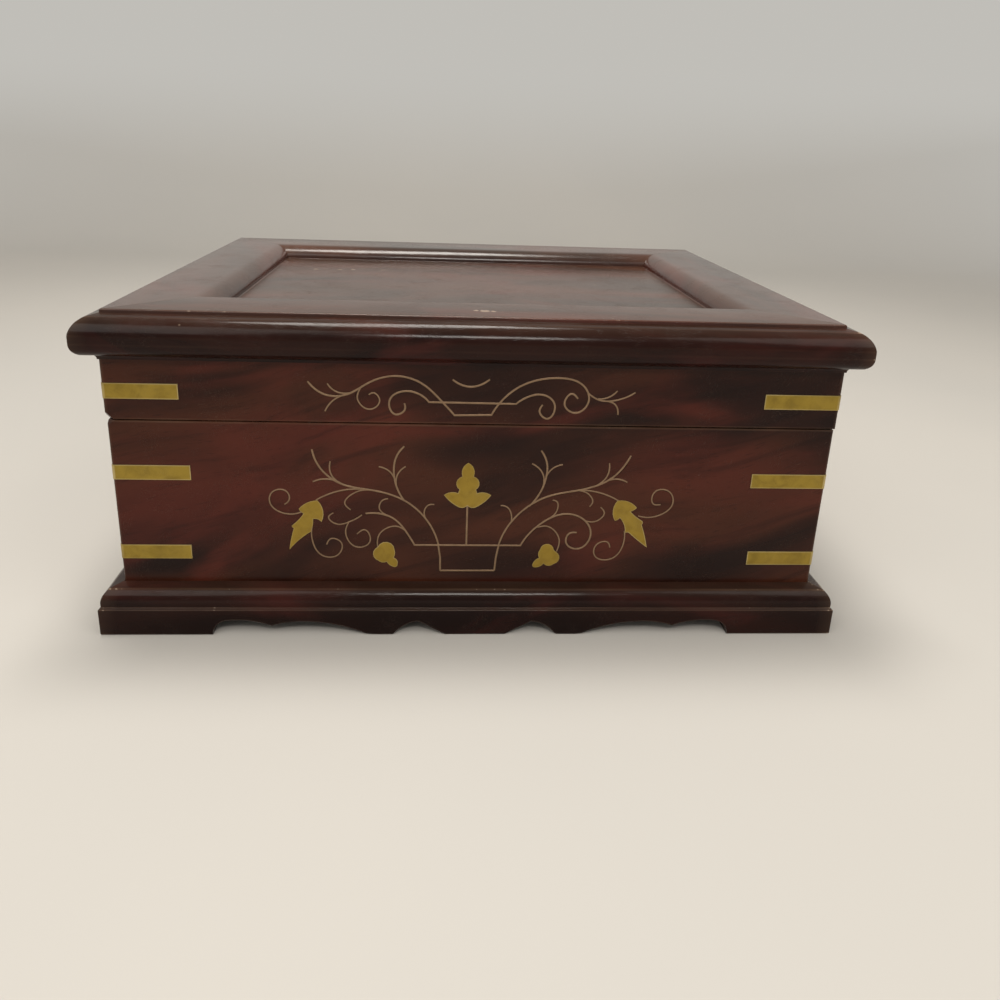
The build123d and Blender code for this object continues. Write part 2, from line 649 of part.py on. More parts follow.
def screw(side, x, grow=0):
    """A countersunk hinge screw, head flush with its leaf; side is -1 in the case and 1 in the lid."""
    head = SCREW_HEAD_RADIUS - SCREW_RADIUS
    solid = extrude(RegularPolygon(SCREW_HEAD_RADIUS + grow, SCREW_SIDES), amount=head, taper=45)
    solid += extrude(RegularPolygon(SCREW_RADIUS + grow, SCREW_SIDES), amount=SCREW_LENGTH + grow)
    if side < 0:
        solid = mirror(solid, Plane.XY)
    height = SKIRT_FOOT if side > 0 else CASE_TOP
    return Pos(x, PIVOT_Y - SCREW_SETBACK, height) * solid


def screw_places(centre):
    """The x of each screw of a leaf."""
    middle = (SCREWS_PER_LEAF - 1) / 2
    return [centre + (i - middle) * SCREW_PITCH for i in range(SCREWS_PER_LEAF)]


def barrel(radius, low, high):
    """A cylinder on the lid's axis between two x."""
    return Pos((low + high) / 2, PIVOT_Y, PIVOT_Z) * Rot(0, 90, 0) * Cylinder(radius, high - low)


def hinge_leaf(side, centre):
    """One leaf of a butt hinge with its knuckles; side is -1 on the case and 1 on the lid."""
    start = centre - HINGE_LENGTH / 2
    pitch = HINGE_LENGTH / KNUCKLES
    low = SKIRT_FOOT if side > 0 else CASE_TOP - LEAF_THICKNESS
    plate = Box(HINGE_LENGTH, LEAF_WIDTH, LEAF_THICKNESS)
    part = Pos(centre, PIVOT_Y - LEAF_WIDTH / 2, low + LEAF_THICKNESS / 2) * plate
    notch = Box(pitch + KNUCKLE_GAP, 2 * (BARREL_RADIUS + BARREL_ROOM), 2 * BARREL_RADIUS)
    for i in range(KNUCKLES):
        left = start + i * pitch
        if (i % 2 == 0) == (side < 0):
            part += barrel(BARREL_RADIUS, left + KNUCKLE_GAP / 2, left + pitch - KNUCKLE_GAP / 2)
        else:
            part -= Pos(left + pitch / 2, PIVOT_Y, PIVOT_Z) * notch
    part -= barrel(PIN_RADIUS + PIN_FIT, start - CUT_PAST, start + HINGE_LENGTH + CUT_PAST)
    for x in screw_places(centre):
        part -= screw(side, x, SCREW_FIT)
    return part


def hinge_pin(centre):
    """A hinge pin, cut flush with the outer knuckles."""
    half = (HINGE_LENGTH - KNUCKLE_GAP) / 2
    return barrel(PIN_RADIUS, centre - half, centre + half)


def hinge_mortises(side):
    """What both hinges take out of the back board of the case or of the lid."""
    cuts = []
    low = SKIRT_FOOT - SEAM if side > 0 else CASE_TOP - LEAF_THICKNESS
    height = LEAF_THICKNESS + SEAM
    half = HINGE_LENGTH / 2 + BARREL_ROOM
    front = PIVOT_Y - LEAF_WIDTH - HINGE_FIT
    seat = Box(2 * half, BOARD, height)
    for centre in (-HINGE_OFFSET, HINGE_OFFSET):
        cuts.append(Pos(centre, front + BOARD / 2, low + height / 2) * seat)
        cuts.append(barrel(BARREL_RADIUS + BARREL_ROOM, centre - half, centre + half))
        cuts += [screw(side, x, SCREW_FIT) for x in screw_places(centre)]
    return Part() + cuts


def case_boards(front_pocket):
    """The four mitred boards of the case."""
    straps = [strap_corner(level, corner, True) for level in ("lower", "upper") for corner in CORNERS]
    block = rounded_prism(0, CASE_FOOT, CASE_TOP) - straps - back_bevel(upwards=False)
    block -= worn_corner(CASE_CHIP, 0, CASE_TOP, -1)
    boards = {}
    for side, (length, depth, _) in SIDES.items():
        boards["case_" + side] = on_side(mitred_run(case_board_section(), length, depth), side) & block
    boards["case_front"] -= inlaid(front_pocket, False, CUT_PAST)
    boards["case_back"] -= hinge_mortises(-1)
    return boards


def lid_boards(front_pocket):
    """The four mitred boards of the lid's skirt."""
    straps = [strap_corner("lid", corner, True) for corner in CORNERS]
    block = rounded_prism(SKIRT_REACH, SKIRT_FOOT, SKIRT_TOP) - straps - back_bevel(upwards=True)
    block -= worn_corner(LID_CHIP, SKIRT_REACH, SKIRT_FOOT, 1)
    boards = {}
    for side, (length, depth, _) in SIDES.items():
        boards["skirt_" + side] = on_side(mitred_run(skirt_board_section(), length, depth), side) & block
    boards["skirt_front"] -= inlaid(front_pocket, True, CUT_PAST)
    boards["skirt_back"] -= hinge_mortises(1)
    return boards


def mouldings():
    """The plinth, the cornice and the rails of the lid's top frame: four mitred runs of each."""
    parts = {}
    for side, (length, depth, _) in SIDES.items():
        plinth = mitred_run(plinth_section(), length, depth)
        plinth -= apron_cut(length, depth, with_points=length == CASE_WIDTH)
        parts["plinth_" + side] = on_side(plinth, side)
        parts["cornice_" + side] = on_side(mitred_run(cornice_section(), length, depth), side)
        parts["lid_rail_" + side] = on_side(mitred_run(rail_section(), length, depth), side)
    return parts


def panel(width, depth, bottom, thickness):
    """A flat board centred on the footprint."""
    return Pos(0, 0, bottom + thickness / 2) * Box(width, depth, thickness)


def panels():
    """The bottom panel of the case and the top panel of the lid, in their grooves."""
    in_case = 2 * (BOARD - GROOVE_DEPTH + PANEL_SHRINK_ROOM)
    in_lid = 2 * (FRAME_INSET + FRAME_WIDTH - GROOVE_DEPTH + PANEL_SHRINK_ROOM)
    in_case_bottom = FLOOR - BOTTOM_THICKNESS
    in_lid_bottom = LID_TOP - PANEL_DROP - PANEL_THICKNESS
    return {
        "bottom_panel": panel(CASE_WIDTH - in_case, CASE_DEPTH - in_case, in_case_bottom, BOTTOM_THICKNESS),
        "lid_panel": panel(CASE_WIDTH - in_lid, CASE_DEPTH - in_lid, in_lid_bottom, PANEL_THICKNESS),
    }


def lining():
    """Cloth-covered card: a pad on the bottom, four walls and one sheet under the lid's frame."""
    room_x = CASE_WIDTH - 2 * BOARD
    room_y = CASE_DEPTH - 2 * BOARD
    wall_low = FLOOR + LINING_GAP
    wall_height = CASE_TOP - LINING_BELOW_RIM - wall_low
    long_wall = Box(room_x - 2 * LINING_GAP, LINING, wall_height)
    short_wall = Box(LINING, room_y - 2 * (LINING + LINING_GAP), wall_height)
    wall_z = wall_low + wall_height / 2
    pad_x = room_x - 2 * (LINING + LINING_GAP)
    pad_y = room_y - 2 * (LINING + LINING_GAP)
    pad = panel(pad_x, pad_y, FLOOR, FLOOR_PAD)
    pad = fillet(pad.edges().group_by(Axis.Z)[-1], LINING_EASE)
    lid_x = room_x + 2 * (SKIRT_REACH - LINING_GAP)
    lid_y = room_y + 2 * (SKIRT_REACH - LINING_GAP)
    lid_sheet = panel(lid_x, lid_y, SKIRT_TOP - LINING, LINING)
    lid_sheet = fillet(lid_sheet.edges().group_by(Axis.Z)[0], LINING_EASE)
    y = room_y / 2 - LINING / 2
    x = room_x / 2 - LINING / 2
    return {
        "lining_floor": pad,
        "lining_front": Pos(0, -y, wall_z) * long_wall,
        "lining_back": Pos(0, y, wall_z) * long_wall,
        "lining_left": Pos(-x, 0, wall_z) * short_wall,
        "lining_right": Pos(x, 0, wall_z) * short_wall,
        "lining_lid": lid_sheet,
    }


def straps():
    """Three brass straps at each corner."""
    return {
        "strap_" + level + "_" + corner: strap_corner(level, corner)
        for level in STRAP_BOTTOMS
        for corner in CORNERS
    }


def hinges():
    """Two butt hinges and their screws."""
    parts = {}
    for name, centre in (("left", -HINGE_OFFSET), ("right", HINGE_OFFSET)):
        parts["hinge_" + name + "_case_leaf"] = hinge_leaf(-1, centre)
        parts["hinge_" + name + "_lid_leaf"] = hinge_leaf(1, centre)
        parts["hinge_" + name + "_pin"] = hinge_pin(centre)
    for name, side in (("case", -1), ("lid", 1)):
        places = screw_places(-HINGE_OFFSET) + screw_places(HINGE_OFFSET)
        parts["hinge_screws_" + name] = Compound([screw(side, x) for x in places])
    return parts


def build():
    """Every piece by name."""
    case_inlay, case_pocket, lid_inlay, lid_pocket = inlay_shapes()
    parts = case_boards(case_pocket)
    parts.update(lid_boards(lid_pocket))
    parts.update(mouldings())
    parts.update(panels())
    parts.update(straps())
    parts.update({name: inlaid(shape, False, INLAY_PROUD) for name, shape in case_inlay.items()})
    parts.update({name: inlaid(shape, True, INLAY_PROUD) for name, shape in lid_inlay.items()})
    parts.update(hinges())
    parts.update(lining())
    return parts


os.makedirs("parts", exist_ok=True)
for node, part in build().items():
    export_step(part, "parts/" + node + ".step")
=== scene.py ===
"""The looks of a small hardwood jewelry chest with brass straps and a brass vine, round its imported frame.

Lengths written as drawings are in millimetres and turned to metres by MM; everything else is in metres.
The frame's axes hold throughout: X to the right, Y to the back, Z up, the front at negative Y.
"""

import json
import logging
from abc import ABC, abstractmethod
from dataclasses import dataclass
from enum import Enum
from functools import cache, reduce
from math import cos, pi, radians, sin, sqrt
from typing import Any, Callable, Iterable, Sequence

import bmesh
import bpy
import numpy as np
from mathutils import Matrix, Vector, noise

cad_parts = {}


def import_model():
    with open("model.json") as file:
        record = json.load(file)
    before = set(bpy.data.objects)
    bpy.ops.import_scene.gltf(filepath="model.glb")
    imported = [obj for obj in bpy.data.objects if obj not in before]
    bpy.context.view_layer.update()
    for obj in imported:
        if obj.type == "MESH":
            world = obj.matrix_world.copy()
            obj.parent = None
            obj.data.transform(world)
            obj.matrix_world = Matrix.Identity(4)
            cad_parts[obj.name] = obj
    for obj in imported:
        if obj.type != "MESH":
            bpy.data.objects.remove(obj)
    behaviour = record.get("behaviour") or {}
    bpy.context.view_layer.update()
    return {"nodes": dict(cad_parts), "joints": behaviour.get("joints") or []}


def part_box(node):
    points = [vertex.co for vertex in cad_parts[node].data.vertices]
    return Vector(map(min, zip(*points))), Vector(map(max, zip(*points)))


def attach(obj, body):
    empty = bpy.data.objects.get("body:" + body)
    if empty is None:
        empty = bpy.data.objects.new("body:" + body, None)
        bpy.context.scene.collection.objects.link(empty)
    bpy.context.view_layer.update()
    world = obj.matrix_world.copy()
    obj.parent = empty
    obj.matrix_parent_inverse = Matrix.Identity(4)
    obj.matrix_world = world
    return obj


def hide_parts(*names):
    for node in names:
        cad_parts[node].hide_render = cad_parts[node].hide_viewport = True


MM = 0.001
log = logging.getLogger("jewelry_chest")

Socket = bpy.types.NodeSocket
Colour = tuple[float, float, float]
Drawn = tuple[float, float]
Spot = tuple[float, float, float, float]


class Side(Enum):
    """A side of the chest and its turn about Z from the front, in degrees."""

    FRONT = 0
    RIGHT = 90
    BACK = 180
    LEFT = -90

    @property
    def word(self) -> str:
        """The side's name in the frame's nodes."""
        return self.name.lower()

    @property
    def long(self) -> bool:
        """Whether the side runs along X."""
        return self in (Side.FRONT, Side.BACK)

    def turn(self) -> Matrix:
        """The rotation that carries the front to this side."""
        return Matrix.Rotation(radians(self.value), 4, "Z")


class Run(Enum):
    """The axis that a board's grain runs along, as a turn about Z for its pattern, in degrees."""

    ALONG_X = 0
    ALONG_Y = 90


def run_of(side: Side) -> Run:
    """The direction of the grain on that side."""
    return Run.ALONG_X if side.long else Run.ALONG_Y


# Node trees


class Sheet:
    """A node tree with short calls that add nodes and join them."""

    def __init__(self, tree: bpy.types.NodeTree) -> None:
        """Takes the tree that nodes are added to."""
        self.tree = tree

    def feed(self, socket: Socket, value: Any) -> None:
        """Joins a socket to an output, or sets its value.

        Args:
            socket: The input.
            value: An output socket or a plain value.
        """
        if isinstance(value, Socket):
            self.tree.links.new(value, socket)
        else:
            socket.default_value = value

    def add(self, kind: str, inputs: dict[str | int, Any] | None = None, **settings: Any) -> bpy.types.Node:
        """Adds a node.

        Args:
            kind: The node's type name.
            inputs: What feeds its inputs, by name or place: an output socket or a plain value.
            **settings: The node's own properties.

        Returns:
            The new node.
        """
        node = self.tree.nodes.new(kind)
        for name, value in settings.items():
            setattr(node, name, value)
        for key, value in (inputs or {}).items():
            self.feed(node.inputs[key], value)
        return node

    def step(self, kind: str, inputs: dict[str | int, Any] | None = None, **settings: Any) -> Socket:
        """Adds a node and gives its first output."""
        return self.add(kind, inputs, **settings).outputs[0]

    def group_inputs(self) -> dict[str, Socket]:
        """The group's own inputs by name."""
        node = self.tree.nodes.new("NodeGroupInput")
        return {socket.name: socket for socket in node.outputs if socket.name}

    def maths(self, operation: str, *values: Any, clamp: bool = False) -> Socket:
        """One step of arithmetic on numbers."""
        return self.step("ShaderNodeMath", dict(enumerate(values)), operation=operation, use_clamp=clamp)

    def vector(self, operation: str, *values: Any) -> Socket:
        """One step of arithmetic on vectors."""
        return self.step("ShaderNodeVectorMath", dict(enumerate(values)), operation=operation)

    def triple(self, x: Any = 0.0, y: Any = 0.0, z: Any = 0.0) -> Socket:
        """A vector from three numbers."""
        return self.step("ShaderNodeCombineXYZ", {0: x, 1: y, 2: z})

    def parts(self, vector: Any) -> tuple[Socket, Socket, Socket]:
        """A vector's x, y and z."""
        x, y, z = self.add("ShaderNodeSeparateXYZ", {0: vector}).outputs
        return x, y, z


class ShaderSheet(Sheet):
    """A shader tree, with the calls that its patterns are drawn with."""

    def length(self, vector: Any) -> Socket:
        """A vector's length."""
        return self.add("ShaderNodeVectorMath", {0: vector}, operation="LENGTH").outputs["Value"]

    def ramp(self, value: Any, low: float, high: float, to_low: float = 0.0, to_high: float = 1.0) -> Socket:
        """A smooth step of a value from one range to another."""
        inputs = {0: value, 1: low, 2: high, 3: to_low, 4: to_high}
        return self.step("ShaderNodeMapRange", inputs, interpolation_type="SMOOTHSTEP")

    def mix(self, amount: Any, first: Any, second: Any, blend: str = "MIX") -> Socket:
        """A mix of two colours.

        Args:
            amount: The second colour's share, from 0 to 1.
            first: The first colour.
            second: The second colour.
            blend: How they are blended.

        Returns:
            The mixed colour.
        """
        node = self.add("ShaderNodeMix", {0: amount}, data_type="RGBA", blend_type=blend)
        self.feed(node.inputs[6], first)
        self.feed(node.inputs[7], second)
        return node.outputs[2]

    def speckle(
        self, vector: Any, scale: Any, detail: float = 2.0, rough: float = 0.5, bent: float = 0.0
    ) -> Socket:
        """Cloudy noise from 0 to 1 on a vector."""
        inputs = {"Vector": vector, "Scale": scale, "Detail": detail, "Roughness": rough, "Distortion": bent}
        return self.add("ShaderNodeTexNoise", inputs).outputs["Fac"]

    def place(self) -> Socket:
        """The surface point in the object's own frame, in metres."""
        return self.add("ShaderNodeTexCoord").outputs["Object"]

    def mapped(self, vector: Any, turn: float, tilt: float, shift: Sequence[float]) -> Socket:
        """A vector that is turned and moved.

        Args:
            vector: The vector.
            turn: The turn about Z, in degrees, made first.
            tilt: The turn about Y, in degrees.
            shift: How far it is moved.

        Returns:
            The new vector.
        """
        turned = {"Vector": vector, "Rotation": (0, 0, radians(turn))}
        level = self.step("ShaderNodeMapping", turned)
        tilted = {"Vector": level, "Rotation": (0, radians(tilt), 0), "Location": shift}
        return self.step("ShaderNodeMapping", tilted)

    def layered(self, colour: Socket, layers: Iterable[tuple[Socket, float, Colour]]) -> Socket:
        """A colour with others laid over it in order.

        Args:
            colour: The lowest colour.
            layers: Each layer's mask, its share where the mask is 1, and its colour.

        Returns:
            The colour that shows.
        """
        for mask, share, tint in layers:
            colour = self.mix(self.maths("MULTIPLY", mask, share), colour, solid(tint))
        return colour

    def highest(self, masks: Iterable[Socket]) -> Socket:
        """The highest of several masks at each point."""
        return reduce(lambda first, second: self.maths("MAXIMUM", first, second), masks)

    def spots(self, vector: Any, spots: Sequence[Spot]) -> Socket:
        """A mask of small ragged spots.

        Args:
            vector: The surface point.
            spots: Each spot as x, y, z and radius, in millimetres.

        Returns:
            The mask.
        """
        ragged_scale, reach, fade = 900.0, 2.0, 0.3
        ragged = self.speckle(vector, ragged_scale, 3, 0.7)
        masks = []
        for x, y, z, radius in spots:
            away = self.length(self.vector("SUBTRACT", vector, (x * MM, y * MM, z * MM)))
            limit = self.maths("MULTIPLY", ragged, reach * radius * MM)
            masks.append(self.ramp(self.maths("SUBTRACT", limit, away), 0.0, fade * radius * MM))
        return self.highest(masks)

    def zones(self, vector: Any, zones: Sequence[Spot]) -> Socket:
        """A mask of broad soft zones, drawn out along X.

        Args:
            vector: The surface point.
            zones: Each zone as x, y, z and half height, in millimetres.

        Returns:
            The mask.
        """
        sway_scale, reach, flat = 14.0, 0.03, (0.34, 1.0, 1.0)
        outer, inner = 1.5, 0.2
        sway = self.add("ShaderNodeTexNoise", {"Vector": vector, "Scale": sway_scale, "Detail": 2.0})
        bent = self.vector("MULTIPLY", sway.outputs["Color"], (0.0, 0.0, reach))
        bent = self.vector("ADD", vector, bent)
        masks = []
        for x, y, z, half in zones:
            from_centre = self.vector("SUBTRACT", bent, (x * MM, y * MM, z * MM + reach / 2))
            away = self.length(self.vector("MULTIPLY", from_centre, flat))
            masks.append(self.ramp(away, outer * half * MM, inner * half * MM))
        return self.highest(masks)

    def mark(self, name: str) -> Socket:
        """A number kept on the piece's points by name."""
        return self.add("ShaderNodeAttribute", attribute_name=name).outputs["Fac"]

    def bump(self, height: Any, distance: float, under: Any = None) -> Socket:
        """A normal raised by a pattern.

        Args:
            height: The pattern, from 0 to 1.
            distance: How far 1 rises, in metres.
            under: The normal that it is raised from, or none for the surface's own.

        Returns:
            The raised normal.
        """
        inputs = {"Height": height, "Distance": distance}
        if under is not None:
            inputs["Normal"] = under
        return self.step("ShaderNodeBump", inputs)


def solid(colour: Colour) -> tuple[float, float, float, float]:
    """A colour with full alpha."""
    return (*colour, 1.0)


class ShaderEffect(ABC):
    """An effect of several materials, kept as one node group that puts out colours, masks and heights."""

    name: str
    inputs: dict[str, tuple[str, Any]]
    outputs: dict[str, str]

    @abstractmethod
    def draw(self, sheet: ShaderSheet, given: dict[str, Socket]) -> dict[str, Socket]:
        """Draws the effect inside its group.

        Args:
            sheet: The group's sheet.
            given: The group's inputs by name.

        Returns:
            What feeds each of its outputs.
        """

    @cache
    def tree(self) -> bpy.types.NodeTree:
        """Builds the group when it is first asked for.

        Returns:
            The group.
        """
        tree = bpy.data.node_groups.new(self.name, "ShaderNodeTree")
        for label, (kind, value) in self.inputs.items():
            socket = tree.interface.new_socket(label, in_out="INPUT", socket_type=kind)
            if value is not None:
                socket.default_value = value
        for label, kind in self.outputs.items():
            tree.interface.new_socket(label, in_out="OUTPUT", socket_type=kind)
        sheet = ShaderSheet(tree)
        made = self.draw(sheet, sheet.group_inputs())
        end = tree.nodes.new("NodeGroupOutput")
        for label, socket in made.items():
            tree.links.new(socket, end.inputs[label])
        return tree

    def place(self, sheet: ShaderSheet, **values: Any) -> dict[str, Socket]:
        """Places the group in a material.

        Args:
            sheet: The material's sheet.
            **values: Its inputs, with spaces in their names written as underscores.

        Returns:
            The group's outputs by name.
        """
        node = sheet.add("ShaderNodeGroup", node_tree=self.tree())
        for label, value in values.items():
            sheet.feed(node.inputs[label.replace("_", " ")], value)
        return {socket.name: socket for socket in node.outputs}


FLOAT = "NodeSocketFloat"
VECTOR = "NodeSocketVector"


@dataclass(frozen=True)
class GrainLayer:
    """A layer of the grain: noise at a share of its scale along X, and the range that its mask rises over."""

    scale: str
    share: float
    detail: float
    rough: float
    bent: float
    rise: Drawn
    apart: bool = False


class Grain(ShaderEffect):
    """Rosewood figure along X: broad light and dark bands, narrow streaks and fine pores."""

    name = "wood grain"
    inputs = {
        "Vector": (VECTOR, None),
        "Figure Scale": (FLOAT, 26.0),
        "Streak Scale": (FLOAT, 150.0),
        "Pore Scale": (FLOAT, 1500.0),
    }
    outputs = {"Figure": FLOAT, "Flame": FLOAT, "Streaks": FLOAT, "Pores": FLOAT}
    drift_scale = 7.0
    drift_reach = (0.0, 0.045, 0.045)
    apart = (3.1, 1.7, 5.3)
    layers = {
        "Figure": GrainLayer("Figure Scale", 0.26, 2.5, 0.45, 0.5, (0.28, 0.68)),
        "Flame": GrainLayer("Figure Scale", 0.34, 3.0, 0.5, 0.7, (0.46, 0.72), apart=True),
        "Streaks": GrainLayer("Streak Scale", 0.045, 4.0, 0.6, 0.5, (0.48, 0.7)),
        "Pores": GrainLayer("Pore Scale", 0.06, 2.0, 0.5, 0.0, (0.6, 0.72)),
    }

    def draw(self, sheet: ShaderSheet, given: dict[str, Socket]) -> dict[str, Socket]:
        """Draws the layers on gently bent lines, and the flame away from the others.

        Args:
            sheet: The group's sheet.
            given: The group's inputs by name.

        Returns:
            What feeds each of its outputs.
        """
        drift = {"Vector": given["Vector"], "Scale": self.drift_scale, "Detail": 1.0}
        drifted = sheet.add("ShaderNodeTexNoise", drift).outputs["Color"]
        centred = sheet.vector("SUBTRACT", drifted, (0.5, 0.5, 0.5))
        bent = sheet.vector("ADD", given["Vector"], sheet.vector("MULTIPLY", centred, self.drift_reach))
        apart = sheet.vector("ADD", bent, self.apart)
        masks = {}
        for label, layer in self.layers.items():
            lines = sheet.vector("MULTIPLY", apart if layer.apart else bent, (layer.share, 1, 1))
            clouds = sheet.speckle(lines, given[layer.scale], layer.detail, layer.rough, layer.bent)
            masks[label] = sheet.ramp(clouds, *layer.rise)
        return masks


class EdgeWear(ShaderEffect):
    """Where a finish has rubbed or chipped away on the edges; on the mouldings and the brass these masks also
    carry a painted highlight.
    """

    name = "edge wear"
    inputs = {
        "Vector": (VECTOR, None),
        "Edge": (FLOAT, 0.0),
        "Amount": (FLOAT, 0.3),
        "Grain": (FLOAT, 420.0),
    }
    outputs = {"Chips": FLOAT, "Rub": FLOAT}
    broad_scale = 38.0
    cloud_share = 0.6
    unworn, bite = 1.02, 0.8
    chip_fade = (0.0, 0.03)
    chip_reach = (0.15, 0.5)
    rub_patches = (0.3, 0.7, 0.35, 1.0)

    def draw(self, sheet: ShaderSheet, given: dict[str, Socket]) -> dict[str, Socket]:
        """Chips are small and hard-edged; the rub is a soft band along the edge.

        Args:
            sheet: The group's sheet.
            given: The group's inputs by name.

        Returns:
            What feeds each of its outputs.
        """
        fine = sheet.speckle(given["Vector"], given["Grain"], 3, 0.65)
        broad = sheet.speckle(given["Vector"], self.broad_scale)
        both = sheet.maths("MULTIPLY", fine, self.cloud_share)
        both = sheet.maths("MULTIPLY_ADD", broad, self.cloud_share, both)
        left = sheet.maths("SUBTRACT", self.unworn, sheet.maths("MULTIPLY", given["Amount"], given["Edge"]))
        past = sheet.maths("SUBTRACT", both, sheet.maths("MULTIPLY", left, self.bite))
        near = sheet.ramp(given["Edge"], *self.chip_reach)
        return {
            "Chips": sheet.maths("MULTIPLY", sheet.ramp(past, *self.chip_fade), near),
            "Rub": sheet.maths("MULTIPLY", given["Edge"], sheet.ramp(broad, *self.rub_patches)),
        }


class Dust(ShaderEffect):
    """A thin film and a few pale specks that lie on what faces up."""

    name = "dust"
    inputs = {"Vector": (VECTOR, None), "Film": (FLOAT, 0.5), "Specks": (FLOAT, 0.5)}
    outputs = {"Film": FLOAT, "Specks": FLOAT}
    facing_up = (0.35, 0.95)
    patch_scale = 24.0
    patchy = (0.2, 0.8, 0.55, 1.0)
    dot_scale = 130.0
    dot_fade = (0.07, 0.03)
    chosen_dots = (0.8, 0.82)

    def draw(self, sheet: ShaderSheet, given: dict[str, Socket]) -> dict[str, Socket]:
        """The film is patchy; the specks are sparse dots.

        Args:
            sheet: The group's sheet.
            given: The group's inputs by name.

        Returns:
            What feeds each of its outputs.
        """
        normal = sheet.add("ShaderNodeNewGeometry").outputs["Normal"]
        up = sheet.ramp(sheet.parts(normal)[2], *self.facing_up)
        patches = sheet.ramp(sheet.speckle(given["Vector"], self.patch_scale, 4, 0.6, 0.4), *self.patchy)
        film = sheet.maths("MULTIPLY", sheet.maths("MULTIPLY", up, given["Film"]), patches)
        cells = {"Vector": given["Vector"], "Scale": self.dot_scale}
        dots = sheet.add("ShaderNodeTexVoronoi", cells).outputs
        dot = sheet.ramp(dots["Distance"], *self.dot_fade)
        chosen = sheet.ramp(sheet.parts(dots["Color"])[0], *self.chosen_dots)
        specks = sheet.maths("MULTIPLY", dot, chosen)
        specks = sheet.maths("MULTIPLY", specks, sheet.maths("MULTIPLY", up, given["Specks"]))
        return {"Film": film, "Specks": specks}


class Scratches(ShaderEffect):
    """Fine straight scratches that cross each other."""

    name = "scratches"
    inputs = {"Vector": (VECTOR, None), "Scale": (FLOAT, 60.0), "Amount": (FLOAT, 0.5)}
    outputs = {"Lines": FLOAT}
    turns_and_stretches = ((17.0, 24.0), (-38.0, 30.0), (71.0, 36.0))
    line_fade = (0.012, 0.002)
    cloud_scale = 35.0
    thinned = (0.55, 0.66)

    def draw(self, sheet: ShaderSheet, given: dict[str, Socket]) -> dict[str, Socket]:
        """Three layers of stretched cells, each turned its own way, thinned out by clouds.

        Args:
            sheet: The group's sheet.
            given: The group's inputs by name.

        Returns:
            What feeds each of its outputs.
        """
        lines = []
        for turn, wide in self.turns_and_stretches:
            turns = (radians(turn), radians(turn / 2), radians(turn))
            turned = sheet.step("ShaderNodeMapping", {"Vector": given["Vector"], "Rotation": turns})
            cloud = sheet.speckle(sheet.vector("MULTIPLY", turned, (1.0, wide, wide)), given["Scale"], 1, 0.5)
            off_middle = sheet.maths("ABSOLUTE", sheet.maths("SUBTRACT", cloud, 0.5))
            line = sheet.ramp(off_middle, *self.line_fade)
            thin = sheet.ramp(sheet.speckle(turned, self.cloud_scale + wide), *self.thinned)
            lines.append(sheet.maths("MULTIPLY", line, thin))
        return {"Lines": sheet.maths("MULTIPLY", sheet.highest(lines), given["Amount"])}


class Tarnish(ShaderEffect):
    """Brown spots and clouds that age leaves on brass."""

    name = "tarnish"
    inputs = {"Vector": (VECTOR, None), "Scale": (FLOAT, 180.0), "Amount": (FLOAT, 0.5)}
    outputs = {"Clouds": FLOAT, "Spots": FLOAT}
    finer = 6.0
    cloud_range = (0.35, 0.75)
    spot_range = (0.66, 0.74)

    def draw(self, sheet: ShaderSheet, given: dict[str, Socket]) -> dict[str, Socket]:
        """Soft clouds at one scale and small dark spots at a finer one.

        Args:
            sheet: The group's sheet.
            given: The group's inputs by name.

        Returns:
            What feeds each of its outputs.
        """
        clouds = sheet.speckle(given["Vector"], given["Scale"], 4, 0.6, 0.5)
        fine = sheet.speckle(given["Vector"], sheet.maths("MULTIPLY", given["Scale"], self.finer), 3, 0.6)
        return {
            "Clouds": sheet.maths("MULTIPLY", sheet.ramp(clouds, *self.cloud_range), given["Amount"]),
            "Spots": sheet.maths("MULTIPLY", sheet.ramp(fine, *self.spot_range), given["Amount"]),
        }


class Pile(ShaderEffect):
    """The nap of velvet: brushed clouds over a fine pile."""

    name = "velvet pile"
    inputs = {"Vector": (VECTOR, None), "Brush Scale": (FLOAT, 30.0), "Pile Scale": (FLOAT, 2600.0)}
    outputs = {"Brush": FLOAT, "Pile": FLOAT}
    stretch = (0.5, 1.2, 1.0)
    brushed = (0.3, 0.7)

    def draw(self, sheet: ShaderSheet, given: dict[str, Socket]) -> dict[str, Socket]:
        """Broad brushed patches and single tufts.

        Args:
            sheet: The group's sheet.
            given: The group's inputs by name.

        Returns:
            What feeds each of its outputs.
        """
        drawn_out = sheet.vector("MULTIPLY", given["Vector"], self.stretch)
        brush = sheet.speckle(drawn_out, given["Brush Scale"], 3, 0.55, 1.4)
        pile = sheet.speckle(given["Vector"], given["Pile Scale"], 2, 0.7)
        return {"Brush": sheet.ramp(brush, *self.brushed), "Pile": pile}


GRAIN = Grain()
EDGE_WEAR = EdgeWear()
DUST = Dust()
SCRATCHES = Scratches()
TARNISH = Tarnish()
PILE = Pile()


# Finishes


class Finish(ABC):
    """A finish that makes one node material, once."""

    name: str

    @abstractmethod
    def paint(self, sheet: ShaderSheet, shader: bpy.types.Node) -> None:
        """Feeds the shader.

        Args:
            sheet: The material's sheet.
            shader: Its shader.
        """

    @cache
    def material(self) -> bpy.types.Material:
        """Makes the material when it is first asked for.

        Returns:
            The material.
        """
        material = bpy.data.materials.new(self.name)
        material.use_nodes = True
        sheet = ShaderSheet(material.node_tree)
        self.paint(sheet, material.node_tree.nodes["Principled BSDF"])
        return material


